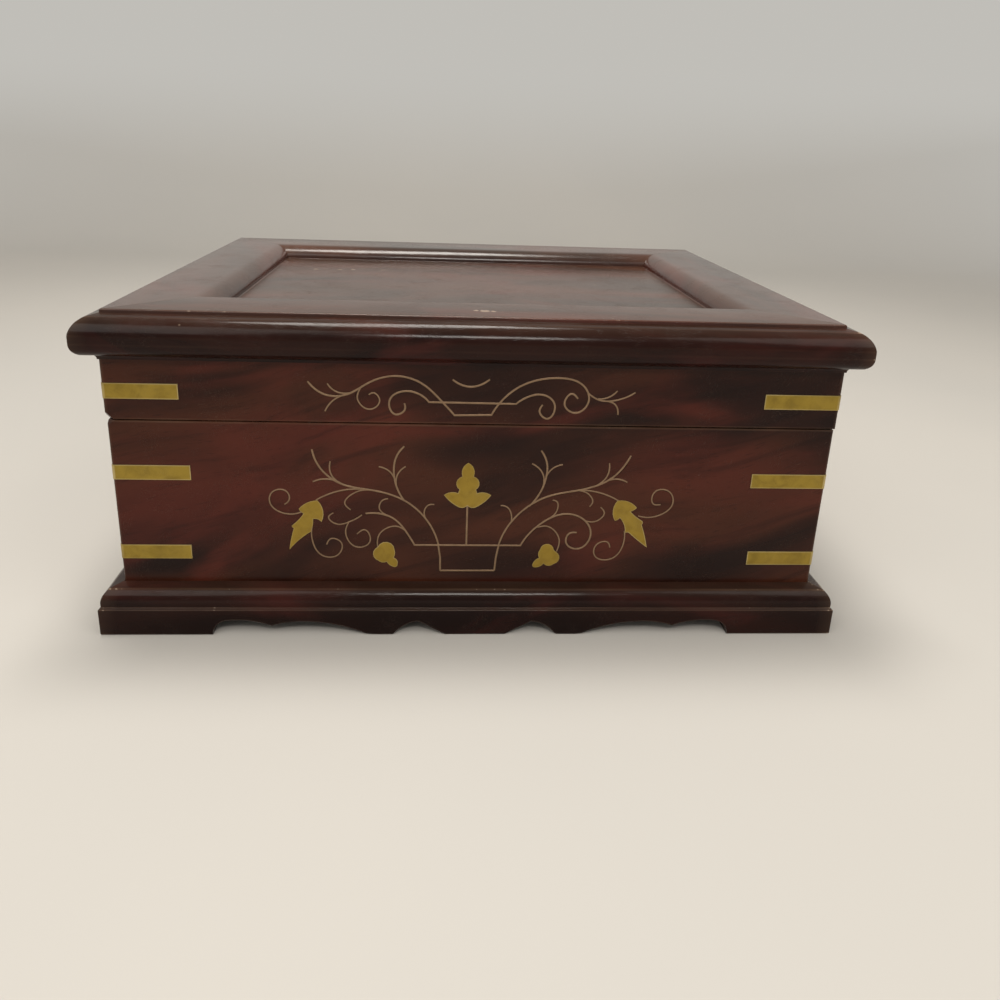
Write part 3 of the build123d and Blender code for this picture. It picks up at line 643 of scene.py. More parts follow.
@dataclass(frozen=True)
class Rosewood(Finish):
    """Dark lacquered rosewood, with its grain along one axis."""

    name: str
    run: Run
    shift: tuple[float, float, float] = (0.0, 0.0, 0.0)
    tilt: float = 0.0
    dark: Colour = (0.0075, 0.0016, 0.0009)
    brown: Colour = (0.056, 0.0150, 0.0066)
    red: Colour = (0.086, 0.0160, 0.0092)
    worn: Colour = (0.30, 0.22, 0.16)
    film: Colour = (0.22, 0.135, 0.088)
    roughness: float = 0.24
    specular: float = 0.16
    coat: float = 0.05
    coat_roughness: float = 0.12
    dulled: float = 0.08
    dull_scale: float = 26.0
    chip_roughness: float = 0.4
    scratch_roughness: float = 0.25
    figure_scale: float = 30.0
    flame_share: float = 0.75
    glow_share: float = 0.6
    darker_wood_and_shade_share: float = 0.8
    streak_share: float = 0.4
    pore_share: float = 0.35
    scratch_share: float = 0.2
    edge_amount: float = 0.3
    rub: float = 0.22
    film_amount: float = 0.15
    specks: float = 0.6
    scratched: float = 0.5
    wave_scale: float = 70.0
    wave_height: float = 0.16 * MM
    pore_depth: float = 0.01 * MM
    chip_depth: float = 0.06 * MM
    marked_edges: bool = True
    corner_reach: float = 1.6 * MM
    seam_reach: Drawn = (1.3 * MM, 0.5 * MM)
    scuffs: tuple[Spot, ...] = ()
    darker_wood_and_shade: tuple[Spot, ...] = ()
    glows: tuple[Spot, ...] = ()

    def edges(self, sheet: ShaderSheet, place: Socket) -> Socket:
        """How near the surface is to an edge: kept on the points, or from the case's corners and seam.

        Args:
            sheet: The material's sheet.
            place: The surface point.

        Returns:
            The mask, 1 on an edge.
        """
        if self.marked_edges:
            return sheet.mark("edge")
        sizes = Chest.measured()
        x, y, z = sheet.parts(place)
        half_width, half_depth = sizes.width / 2, sizes.depth / 2
        by_x = sheet.ramp(sheet.maths("ABSOLUTE", x), half_width - self.corner_reach, half_width)
        by_y = sheet.ramp(sheet.maths("ABSOLUTE", y), half_depth - self.corner_reach, half_depth)
        off_seam = sheet.maths("ABSOLUTE", sheet.maths("SUBTRACT", z, sizes.seam))
        by_seam = sheet.ramp(off_seam, *self.seam_reach)
        outside = sheet.maths("MAXIMUM", by_x, by_y)
        corner = sheet.maths("MULTIPLY", by_x, by_y)
        return sheet.maths("MAXIMUM", corner, sheet.maths("MULTIPLY", by_seam, outside))

    def paint(self, sheet: ShaderSheet, shader: bpy.types.Node) -> None:
        """Grain with darker zones that are partly painted shade, then wear whose rubbed band is partly a
        painted highlight, dust and scratches in the lacquer.

        Args:
            sheet: The material's sheet.
            shader: Its shader.
        """
        place = sheet.place()
        along = sheet.mapped(place, -self.run.value, self.tilt, self.shift)
        grain = GRAIN.place(sheet, Vector=along, Figure_Scale=self.figure_scale)
        edge = self.edges(sheet, place)
        wear = EDGE_WEAR.place(sheet, Vector=place, Edge=edge, Amount=self.edge_amount)
        dust = DUST.place(sheet, Vector=place, Film=self.film_amount, Specks=self.specks)
        lines = SCRATCHES.place(sheet, Vector=place, Amount=self.scratched)["Lines"]
        layers = [(grain["Flame"], self.flame_share, self.red)]
        if self.glows:
            layers.append((sheet.zones(place, self.glows), self.glow_share, self.red))
        # Darker zones, partly the wood's darker tone and partly painted shade.
        if self.darker_wood_and_shade:
            layers.append((sheet.zones(place, self.darker_wood_and_shade), self.darker_wood_and_shade_share, self.dark))
        layers += [
            (grain["Streaks"], self.streak_share, self.dark),
            (grain["Pores"], self.pore_share, self.dark),
            # The rubbed band along the edges, partly wear and partly a painted highlight.
            (wear["Rub"], self.rub, self.film),
            (wear["Chips"], 1.0, self.worn),
            (dust["Film"], 1.0, self.film),
            (dust["Specks"], 1.0, self.worn),
            (lines, self.scratch_share, self.film),
        ]
        if self.scuffs:
            layers.append((sheet.spots(place, self.scuffs), 1.0, self.worn))
        colour = sheet.layered(sheet.mix(grain["Figure"], solid(self.dark), solid(self.brown)), layers)
        dull = sheet.speckle(place, self.dull_scale)
        rough = sheet.maths("MULTIPLY_ADD", dull, self.dulled, self.roughness - self.dulled / 2)
        rough = sheet.maths("MULTIPLY_ADD", wear["Chips"], self.chip_roughness, rough)
        rough = sheet.maths("MULTIPLY_ADD", lines, self.scratch_roughness, rough, clamp=True)
        sheet.feed(shader.inputs["Base Color"], colour)
        sheet.feed(shader.inputs["Roughness"], rough)
        shader.inputs["Specular IOR Level"].default_value = self.specular
        shader.inputs["Coat Roughness"].default_value = self.coat_roughness
        bare = sheet.maths("MULTIPLY_ADD", wear["Chips"], -self.coat, self.coat)
        sheet.feed(shader.inputs["Coat Weight"], bare)
        normal = sheet.bump(sheet.speckle(place, self.wave_scale, 2, 0.45), self.wave_height)
        sunk = sheet.maths("MULTIPLY", grain["Pores"], -1.0)
        normal = sheet.bump(sunk, self.pore_depth, under=normal)
        normal = sheet.bump(sheet.maths("ADD", wear["Chips"], lines), -self.chip_depth, under=normal)
        sheet.feed(shader.inputs["Normal"], normal)


@dataclass(frozen=True)
class AgedBrass(Finish):
    """Dull yellow brass with brown clouds, spots and fine scratches."""

    name: str
    base: Colour = (0.345, 0.238, 0.040)
    deep: Colour = (0.16, 0.104, 0.020)
    bright: Colour = (0.54, 0.43, 0.20)
    stain: Colour = (0.03, 0.018, 0.008)
    roughness: float = 0.33
    tarnish: float = 0.5
    scratched: float = 0.5
    scratch_scale: float = 240.0
    metal: float = 0.85
    spot_share: float = 0.8
    spot_dulling: float = 0.5
    cloud_scale: float = 180.0
    cloud_roughness: float = 0.22
    dent_scale: float = 420.0
    dent_depth: float = 0.03 * MM
    scratch_depth: float = 0.01 * MM
    # A lighter band of the bright colour on the marked rim, partly rubbed brass and partly a painted
    # highlight.
    rim: bool = True
    rim_wear: float = 0.1
    rim_highlight_share: float = 0.9
    stains: tuple[Spot, ...] = ()

    def paint(self, sheet: ShaderSheet, shader: bpy.types.Node) -> None:
        """Clouds and spots darken the brass; scratches are brighter, and the rims carry a painted highlight
        that is partly rubbed brass.

        Args:
            sheet: The material's sheet.
            shader: Its shader.
        """
        place = sheet.place()
        age = TARNISH.place(sheet, Vector=place, Amount=self.tarnish, Scale=self.cloud_scale)
        fine = {"Scale": self.scratch_scale, "Amount": self.scratched}
        lines = SCRATCHES.place(sheet, Vector=place, **fine)["Lines"]
        layers = [(lines, 1.0, self.bright), (age["Spots"], self.spot_share, self.deep)]
        # The rim: a painted highlight in the bright colour, partly rubbed brass.
        if self.rim:
            rub = EDGE_WEAR.place(sheet, Vector=place, Edge=sheet.mark("edge"), Amount=self.rim_wear)["Rub"]
            layers.insert(0, (rub, self.rim_highlight_share, self.bright))
        if self.stains:
            layers.append((sheet.spots(place, self.stains), 1.0, self.stain))
        colour = sheet.layered(sheet.mix(age["Clouds"], solid(self.base), solid(self.deep)), layers)
        rough = sheet.maths("MULTIPLY_ADD", age["Clouds"], self.cloud_roughness, self.roughness)
        metal = sheet.maths("MULTIPLY_ADD", age["Spots"], -self.spot_dulling, self.metal)
        sheet.feed(shader.inputs["Base Color"], colour)
        sheet.feed(shader.inputs["Roughness"], sheet.maths("ADD", rough, lines, clamp=True))
        sheet.feed(shader.inputs["Metallic"], metal)
        dents = sheet.bump(sheet.speckle(place, self.dent_scale, 3, 0.5), self.dent_depth)
        sheet.feed(shader.inputs["Normal"], sheet.bump(lines, -self.scratch_depth, under=dents))


@dataclass(frozen=True)
class Velvet(Finish):
    """Deep red velvet that lightens where its nap is brushed."""

    name: str
    deep: Colour = (0.062, 0.0050, 0.0072)
    brushed: Colour = (0.105, 0.0100, 0.0135)
    dust: Colour = (0.30, 0.18, 0.17)
    dust_share: float = 0.18
    edge_wear: float = 0.05
    shadow: Drawn = (0.35, 0.7)
    shadow_share: float = 0.45
    roughness: Drawn = (0.95, 0.8)
    sheen: float = 0.6
    sheen_roughness: float = 0.35
    sheen_tint: Colour = (0.9, 0.38, 0.34)
    nap_height: float = 0.3 * MM
    pile_height: float = 0.25 * MM

    def paint(self, sheet: ShaderSheet, shader: bpy.types.Node) -> None:
        """Brushed clouds and pile, a worn edge, and sheen on the shader itself.

        Args:
            sheet: The material's sheet.
            shader: Its shader.
        """
        place = sheet.place()
        nap = PILE.place(sheet, Vector=place)
        wear = EDGE_WEAR.place(sheet, Vector=place, Edge=sheet.mark("edge"), Amount=self.edge_wear)
        shadow = sheet.ramp(nap["Pile"], *self.shadow)
        layers = [(shadow, self.shadow_share, self.deep), (wear["Rub"], self.dust_share, self.dust)]
        colour = sheet.layered(sheet.mix(nap["Brush"], solid(self.deep), solid(self.brushed)), layers)
        sheet.feed(shader.inputs["Base Color"], colour)
        sheet.feed(shader.inputs["Roughness"], sheet.ramp(nap["Brush"], 0.0, 1.0, *self.roughness))
        shader.inputs["Sheen Weight"].default_value = self.sheen
        shader.inputs["Sheen Roughness"].default_value = self.sheen_roughness
        shader.inputs["Sheen Tint"].default_value = solid(self.sheen_tint)
        soft = sheet.bump(nap["Brush"], self.nap_height)
        sheet.feed(shader.inputs["Normal"], sheet.bump(nap["Pile"], self.pile_height, under=soft))


class Finishes:
    """Every finish of the chest."""

    @staticmethod
    def board(run: Run) -> Rosewood:
        """Case and skirt boards.

        Args:
            run: The way of the grain.

        Returns:
            The finish.
        """
        return Rosewood(
            f"board_rosewood_{run.name.lower()}",
            run,
            tilt=17.0,
            marked_edges=False,
            edge_amount=0.03,
            # Darker zones on the case and the skirt, partly darker wood and partly painted shade, most of all
            # on the skirt under the cornice.
            darker_wood_and_shade=(
                (5, -120, 87, 10),
                (12, -120, 28, 13),
                (95, -120, 30, 10),
                (6, -121.6, 110, 15),
                (105, -121.6, 112, 9),
            ),
            glows=((96, -120, 74, 15), (-112, -120, 58, 22)),
        )

    @staticmethod
    def moulding(run: Run) -> Rosewood:
        """Plinth and cornice, redder, with paler chips at the mitres and a lighter line along the edges that
        is partly wear and partly a painted highlight.

        Args:
            run: The way of the grain.

        Returns:
            The finish.
        """
        return Rosewood(
            f"moulding_rosewood_{run.name.lower()}",
            run,
            shift=(0.7, 0.3, 0.9),
            dark=(0.0070, 0.0016, 0.0010),
            brown=(0.019, 0.0046, 0.0026),
            red=(0.052, 0.0095, 0.0068),
            roughness=0.15,
            specular=0.15,
            # A strong lighter line along the edges, partly rubbed lacquer and partly a painted highlight.
            rub=0.5,
            edge_amount=0.3,
            film_amount=0.1,
            figure_scale=40.0,
        )

    @staticmethod
    def lid(run: Run) -> Rosewood:
        """The rails of the lid's top frame, dulled by handling.

        Args:
            run: The way of the grain.

        Returns:
            The finish.
        """
        return Rosewood(
            f"lid_rosewood_{run.name.lower()}",
            run,
            shift=(1.9, 0.2, 0.4),
            roughness=0.2,
            specular=0.38,
            film_amount=0.18,
            edge_amount=0.22,
            scuffs=((1.2, -106.5, 138.65, 2.2), (-2.4, -105.9, 138.65, 1.2), (4.6, -106.9, 138.65, 1.3)),
        )

    PANEL = Rosewood(
        "panel_rosewood",
        Run.ALONG_X,
        shift=(2.3, 1.2, 0.1),
        roughness=0.25,
        specular=0.42,
        film_amount=0.2,
        marked_edges=False,
        scuffs=(
            (-88.8, 41.2, 131.2, 1.6),
            (-84.1, 42.6, 131.2, 0.9),
            (-75.2, 41.6, 131.2, 1.3),
            (-67.9, 42.8, 131.2, 1.5),
            (-50.6, 43.8, 131.2, 1.1),
            (67.9, 9.5, 131.2, 0.8),
        ),
    )
    STRAP = AgedBrass(
        "aged_strap_brass",
        stains=(
            (129.1, -122, 104.5, 1.2),
            (130.4, -122, 105.9, 1.0),
            (135.3, -122, 107.4, 0.9),
            (146.2, -122, 107.6, 0.9),
        ),
    )
    LEAF = AgedBrass(
        "aged_leaf_brass",
        base=(0.335, 0.225, 0.037),
        deep=(0.18, 0.112, 0.021),
        tarnish=0.4,
        cloud_scale=260.0,
    )
    WIRE = AgedBrass(
        "aged_wire_brass",
        base=(0.27, 0.175, 0.105),
        deep=(0.14, 0.083, 0.045),
        bright=(0.38, 0.28, 0.18),
        roughness=0.42,
        tarnish=0.35,
        scratched=0.1,
        metal=0.7,
        cloud_scale=300.0,
        rim=False,
    )
    HINGE = AgedBrass("aged_hinge_brass", base=(0.34, 0.24, 0.08), tarnish=0.7, roughness=0.34)
    VELVET = Velvet("red_velvet")


# Meshes


def link(name: str, mesh: bpy.types.Mesh) -> bpy.types.Object:
    """A new object with this mesh, linked to the scene.

    Args:
        name: The object's name.
        mesh: Its mesh.

    Returns:
        The object.
    """
    piece = bpy.data.objects.new(name, mesh)
    bpy.context.scene.collection.objects.link(piece)
    return piece


def shade(mesh: bpy.types.Mesh, angle: float = 40.0) -> None:
    """Smooth shading with sharp edges past this many degrees."""
    mesh.polygons.foreach_set("use_smooth", [True] * len(mesh.polygons))
    mesh.set_sharp_from_angle(angle=radians(angle))


def mesh_piece(
    name: str,
    points: Sequence[Sequence[float]],
    faces: Sequence[Sequence[int]],
    material: bpy.types.Material,
    edge: Sequence[float],
    angle: float = 40.0,
) -> bpy.types.Object:
    """A closed piece from points and faces, its faces turned outwards.

    Args:
        name: The piece's name.
        points: Its points in the frame, in metres.
        faces: Its faces as runs of point numbers.
        material: Its finish.
        edge: For each point, 1 on a worn edge and 0 away from it; on a moulding the finish also paints a
            highlight there.
        angle: The angle, in degrees, past which an edge stays sharp.

    Returns:
        The piece.
    """
    mesh = bpy.data.meshes.new(name)
    mesh.from_pydata([tuple(p) for p in points], [], [tuple(f) for f in faces])
    attribute = mesh.attributes.new("edge", "FLOAT", "POINT")
    attribute.data.foreach_set("value", list(edge))
    form = bmesh.new()
    form.from_mesh(mesh)
    bmesh.ops.recalc_face_normals(form, faces=form.faces)
    form.to_mesh(mesh)
    form.free()
    mesh.materials.append(material)
    shade(mesh, angle)
    return link(name, mesh)


def hand_over(piece: bpy.types.Object, body: str, slot: str, *nodes: str) -> None:
    """Gives a finished piece to its body and hides the frame's nodes that it replaces.

    Args:
        piece: The finished piece.
        body: The body that it rides on.
        slot: The record's material slot of its finish; not used.
        *nodes: The frame's nodes that it replaces.
    """
    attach(piece, body)
    if nodes:
        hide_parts(*nodes)
    log.info("%s rides on %s, %d faces", piece.name, body, len(piece.data.polygons))


# Geometry rules


class GeometryRule(ABC):
    """A Geometry Nodes tree with named inputs that is run once and left as a plain mesh."""

    name: str
    inputs: dict[str, tuple[str, Any]]

    @abstractmethod
    def draw(self, sheet: Sheet, given: dict[str, Socket]) -> Socket:
        """Draws the rule inside its tree.

        Args:
            sheet: The tree's sheet.
            given: The tree's inputs by name.

        Returns:
            The geometry that it makes.
        """

    @cache
    def tree(self) -> bpy.types.NodeTree:
        """Builds the tree when it is first asked for.

        Returns:
            The tree.
        """
        tree = bpy.data.node_groups.new(self.name, "GeometryNodeTree")
        tree.interface.new_socket("Geometry", in_out="INPUT", socket_type="NodeSocketGeometry")
        tree.interface.new_socket("Material", in_out="INPUT", socket_type="NodeSocketMaterial")
        for label, (kind, value) in self.inputs.items():
            tree.interface.new_socket(label, in_out="INPUT", socket_type=kind).default_value = value
        tree.interface.new_socket("Geometry", in_out="OUTPUT", socket_type="NodeSocketGeometry")
        sheet = Sheet(tree)
        given = sheet.group_inputs()
        made = self.draw(sheet, given)
        real = sheet.step("GeometryNodeRealizeInstances", {0: made})
        dressed = sheet.add("GeometryNodeSetMaterial", {"Geometry": real, "Material": given["Material"]})
        tree.links.new(dressed.outputs[0], tree.nodes.new("NodeGroupOutput").inputs[0])
        return tree

    def run(self, source: bpy.types.Object, material: bpy.types.Material, **sizes: Any) -> bpy.types.Object:
        """Runs the rule on an object and leaves a plain mesh under the object's name.

        Args:
            source: The object whose points or edges the rule follows; it is used up.
            material: The finish of the result.
            **sizes: The rule's inputs, with spaces in their names written as underscores.

        Returns:
            The finished piece.
        """
        tree = self.tree()
        modifier = source.modifiers.new(self.name, "NODES")
        modifier.node_group = tree
        sockets = {item.name: item.identifier for item in tree.interface.items_tree if item.in_out == "INPUT"}
        modifier[sockets["Material"]] = material
        for label, value in sizes.items():
            modifier[sockets[label.replace("_", " ")]] = value
        graph = bpy.context.evaluated_depsgraph_get()
        mesh = bpy.data.meshes.new_from_object(source.evaluated_get(graph), depsgraph=graph)
        name = source.name
        old = source.data
        bpy.data.objects.remove(source)
        bpy.data.meshes.remove(old)
        mesh.name = name
        shade(mesh)
        return link(name, mesh)


class BrassWire(GeometryRule):
    """Wire laid in the front: a low oval section along each line, thinner at its ends."""

    name = "brass wire"
    inputs = {
        "Step": (FLOAT, 0.4 * MM),
        "Rise": (FLOAT, 0.26),
        "Taper": (FLOAT, 2.0 * MM),
        "Tip": (FLOAT, 0.88),
        "Surface": (FLOAT, -0.12),
    }
    facets = 12

    def draw(self, sheet: Sheet, given: dict[str, Socket]) -> Socket:
        """The lines lie flat while the section follows them, and are then stood up on the front.

        Args:
            sheet: The tree's sheet.
            given: The tree's inputs by name.

        Returns:
            The geometry that it makes.
        """
        lines = sheet.step("GeometryNodeMeshToCurve", {0: given["Geometry"]})
        even = {"Curve": lines, "Length": given["Step"]}
        lines = sheet.step("GeometryNodeResampleCurve", even, mode="LENGTH")
        lines = sheet.step("GeometryNodeSetCurveNormal", {"Curve": lines}, mode="Z_UP")
        from_start = sheet.add("GeometryNodeSplineParameter").outputs["Length"]
        whole = sheet.add("GeometryNodeSplineLength").outputs["Length"]
        from_end = sheet.maths("SUBTRACT", whole, from_start)
        from_tip = sheet.maths("MINIMUM", from_start, from_end)
        full = sheet.maths("DIVIDE", from_tip, given["Taper"], clamp=True)
        thin = sheet.maths("MULTIPLY_ADD", full, sheet.maths("SUBTRACT", 1.0, given["Tip"]), given["Tip"])
        width = sheet.step("GeometryNodeInputNamedAttribute", {"Name": "width"}, data_type="FLOAT")
        radius = sheet.maths("MULTIPLY", sheet.maths("MULTIPLY", width, 0.5), thin)
        sized = sheet.step("GeometryNodeSetCurveRadius", {"Curve": lines, "Radius": radius})
        round_section = {"Resolution": self.facets, "Radius": 1.0}
        circle = sheet.step("GeometryNodeCurvePrimitiveCircle", round_section)
        oval = {"Geometry": circle, "Scale": sheet.triple(1.0, given["Rise"], 1.0)}
        sweep = {
            "Curve": sized,
            "Profile Curve": sheet.step("GeometryNodeTransform", oval),
            "Scale": sheet.step("GeometryNodeInputRadius"),
            "Fill Caps": True,
        }
        stand = {
            "Geometry": sheet.step("GeometryNodeCurveToMesh", sweep),
            "Translation": sheet.triple(y=given["Surface"]),
            "Rotation": (radians(90), 0, 0),
        }
        return sheet.step("GeometryNodeTransform", stand)


class SlottedScrews(GeometryRule):
    """A slotted countersunk screw on every point, its slot turned at random."""

    name = "slotted screws"
    inputs = {
        "Head Radius": (FLOAT, 1.7 * MM),
        "Shank Radius": (FLOAT, 0.85 * MM),
        "Length": (FLOAT, 8.0 * MM),
        "Slot": (FLOAT, 0.45 * MM),
        "Seed": ("NodeSocketInt", 7),
    }
    facets = 28
    slot_length = 3.0

    def draw(self, sheet: Sheet, given: dict[str, Socket]) -> Socket:
        """A head and a shank are joined, cut by the slot, and set on the points with their tops up.

        Args:
            sheet: The tree's sheet.
            given: The tree's inputs by name.

        Returns:
            The geometry that it makes.
        """
        wide, thin, length = given["Head Radius"], given["Shank Radius"], given["Length"]
        depth = sheet.maths("SUBTRACT", wide, thin)
        cone = {"Vertices": self.facets, "Radius Top": wide, "Radius Bottom": thin, "Depth": depth}
        head = sheet.step("GeometryNodeMeshCone", cone)
        head = self.moved(sheet, head, sheet.maths("MULTIPLY", depth, -1.0))
        rod = {"Vertices": self.facets, "Radius": thin, "Depth": length}
        shank = sheet.step("GeometryNodeMeshCylinder", rod)
        shank = self.moved(sheet, shank, sheet.maths("MULTIPLY", length, -0.5))
        along = sheet.maths("MULTIPLY", wide, self.slot_length)
        size = sheet.triple(along, given["Slot"], given["Slot"])
        slot = sheet.step("GeometryNodeMeshCube", {"Size": size})
        body = sheet.add("GeometryNodeMeshBoolean", operation="UNION", solver="EXACT")
        sheet.feed(body.inputs["Mesh 2"], head)
        sheet.feed(body.inputs["Mesh 2"], shank)
        whole = {"Mesh 1": body.outputs[0], "Mesh 2": slot}
        cut = sheet.step("GeometryNodeMeshBoolean", whole, operation="DIFFERENCE", solver="EXACT")
        chance = {"Max": (0.0, 0.0, pi), "Seed": given["Seed"]}
        turn = sheet.step("FunctionNodeRandomValue", chance, data_type="FLOAT_VECTOR")
        down = sheet.step("GeometryNodeInputNamedAttribute", {"Name": "down"}, data_type="FLOAT")
        flip = sheet.triple(sheet.maths("MULTIPLY", down, pi))
        onto = {
            "Points": sheet.step("GeometryNodeMeshToPoints", {0: given["Geometry"]}),
            "Instance": cut,
            "Rotation": sheet.vector("ADD", turn, flip),
        }
        return sheet.step("GeometryNodeInstanceOnPoints", onto)

    @staticmethod
    def moved(sheet: Sheet, geometry: Socket, up: Any) -> Socket:
        """The geometry moved along Z."""
        move = {"Geometry": geometry, "Translation": sheet.triple(z=up)}
        return sheet.step("GeometryNodeTransform", move)


class Knuckles(GeometryRule):
    """Hinge knuckles on the lid's axis: a barrel with softened rims on every point."""

    name = "hinge knuckles"
    inputs = {"Radius": (FLOAT, 2.2 * MM), "Length": (FLOAT, 12.0 * MM), "Rim": (FLOAT, 0.25 * MM)}
    facets = 36
    facing_down = -0.9
    merged_within = 0.001 * MM

    def draw(self, sheet: Sheet, given: dict[str, Socket]) -> Socket:
        """Each barrel is a stack of a middle and two narrower rims along X.

        Args:
            sheet: The tree's sheet.
            given: The tree's inputs by name.

        Returns:
            The geometry that it makes.
        """
        inner = sheet.maths("MULTIPLY_ADD", given["Rim"], -2.0, given["Length"])
        tube = {"Vertices": self.facets, "Radius": given["Radius"], "Depth": inner}
        joined = sheet.add("GeometryNodeJoinGeometry")
        sheet.feed(joined.inputs[0], sheet.step("GeometryNodeMeshCylinder", tube, fill_type="NONE"))
        for way in (1.0, -1.0):
            sheet.feed(joined.inputs[0], self.end(sheet, given, inner, way))
        close = {"Geometry": joined.outputs[0], "Distance": self.merged_within}
        merged = sheet.step("GeometryNodeMergeByDistance", close)
        lying = {"Geometry": merged, "Rotation": (0, radians(90), 0)}
        onto = {
            "Points": sheet.step("GeometryNodeMeshToPoints", {0: given["Geometry"]}),
            "Instance": sheet.step("GeometryNodeTransform", lying),
        }
        return sheet.step("GeometryNodeInstanceOnPoints", onto)

    def end(self, sheet: Sheet, given: dict[str, Socket], inner: Socket, way: float) -> Socket:
        """The narrower rim at one end of the tube, with its end face.

        Args:
            sheet: The tree's sheet.
            given: The tree's inputs by name.
            inner: The tube's length between the rims.
            way: 1 for the upper end and -1 for the lower.

        Returns:
            The rim.
        """
        cone = {
            "Vertices": self.facets,
            "Radius Bottom": given["Radius"],
            "Radius Top": sheet.maths("SUBTRACT", given["Radius"], given["Rim"]),
            "Depth": given["Rim"],
        }
        ring = sheet.step("GeometryNodeMeshCone", cone, fill_type="NGON")
        facing = {0: sheet.parts(sheet.step("GeometryNodeInputNormal"))[2], 1: self.facing_down}
        below = sheet.step("FunctionNodeCompare", facing, data_type="FLOAT", operation="LESS_THAN")
        hidden = {"Geometry": ring, "Selection": below}
        placed = {
            "Geometry": sheet.step("GeometryNodeDeleteGeometry", hidden, domain="FACE"),
            "Rotation": (0.0 if way > 0 else pi, 0.0, 0.0),
            "Translation": sheet.triple(z=sheet.maths("MULTIPLY", inner, 0.5 * way)),
        }
        return sheet.step("GeometryNodeTransform", placed)


WIRES = BrassWire()
SCREWS = SlottedScrews()
KNUCKLES = Knuckles()


# Sub-assemblies


@dataclass(frozen=True)
class Chest:
    """Sizes that the sub-assemblies share, read from the frame."""

    width: float
    depth: float
    seam: float
    skirt_face: float
    case_top: float
    skirt_foot: float

    @classmethod
    def measured(cls) -> "Chest":
        """Reads the sizes from the frame's nodes.

        Returns:
            The sizes, in metres.
        """
        case_low, case_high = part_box("case_front")
        side_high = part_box("case_right")[1]
        skirt_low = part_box("skirt_front")[0]
        return cls(
            width=2 * side_high.x,
            depth=-2 * case_low.y,
            seam=(case_high.z + skirt_low.z) / 2,
            skirt_face=case_low.y - skirt_low.y,
            case_top=case_high.z,
            skirt_foot=skirt_low.z,
        )


@dataclass(frozen=True)
class Bend:
    """A corner of a moulding's section, in millimetres.

    Attributes:
        out: How far it stands out from the case's face.
        up: Its height.
        ease: How far its worn corner reaches along both sides.
        swell: How far the next stretch swells out of a straight line, to the right of its way.
        wear: How much the corner is worn, from 0 to 1, which also sets its painted highlight.
        lifted: Whether the corner rises with the scallops.
    """

    out: float
    up: float
    ease: float = 0.0
    swell: float = 0.0
    wear: float = 1.0
    lifted: bool = False


@dataclass(frozen=True)
class SectionPoint:
    """A point of a finished section: place in millimetres, wear, and whether it rises with the scallops."""

    out: float
    up: float
    wear: float
    lifted: bool


def bowed(start: np.ndarray, end: np.ndarray, swell: float, share: float) -> np.ndarray:
    """A point on a stretch that swells to the right of its way.

    Args:
        start: Where it starts.
        end: Where it ends.
        swell: How far its middle stands off the straight line.
        share: How far along it the point is, from 0 to 1.

    Returns:
        The point.
    """
    chord = end - start
    length = float(np.hypot(*chord)) or 1.0
    right = np.array([chord[1], -chord[0]]) / length
    return start + share * chord + 4 * swell * share * (1 - share) * right


def section_of(bends: Sequence[Bend]) -> list[SectionPoint]:
    """The closed section through these corners, with eased corners and rounded stretches.

    Args:
        bends: The corners, in order round the section.

    Returns:
        The section's points.
    """
    corner_steps, bow_steps = 4, 9
    points: list[SectionPoint] = []
    count = len(bends)
    spots = [np.array([bend.out, bend.up]) for bend in bends]
    for i, bend in enumerate(bends):
        before, after = bends[i - 1], bends[(i + 1) % count]
        here, last, following = spots[i], spots[i - 1], spots[(i + 1) % count]
        ahead_length = float(np.hypot(*(following - here)))
        if bend.ease:
            back = bowed(last, here, before.swell, 1 - bend.ease / float(np.hypot(*(here - last))))
            ahead = bowed(here, following, bend.swell, bend.ease / ahead_length)
            for step in range(corner_steps + 1):
                share = step / corner_steps
                spot = (1 - share) ** 2 * back + 2 * share * (1 - share) * here + share**2 * ahead
                points.append(SectionPoint(*spot, bend.wear * sin(pi * share), bend.lifted))
        else:
            points.append(SectionPoint(*here, 0.0, bend.lifted))
        if bend.swell:
            low, high = bend.ease / ahead_length, 1 - after.ease / ahead_length
            for step in range(1, bow_steps):
                spot = bowed(here, following, bend.swell, low + (high - low) * step / bow_steps)
                points.append(SectionPoint(*spot, 0.0, False))
    return points


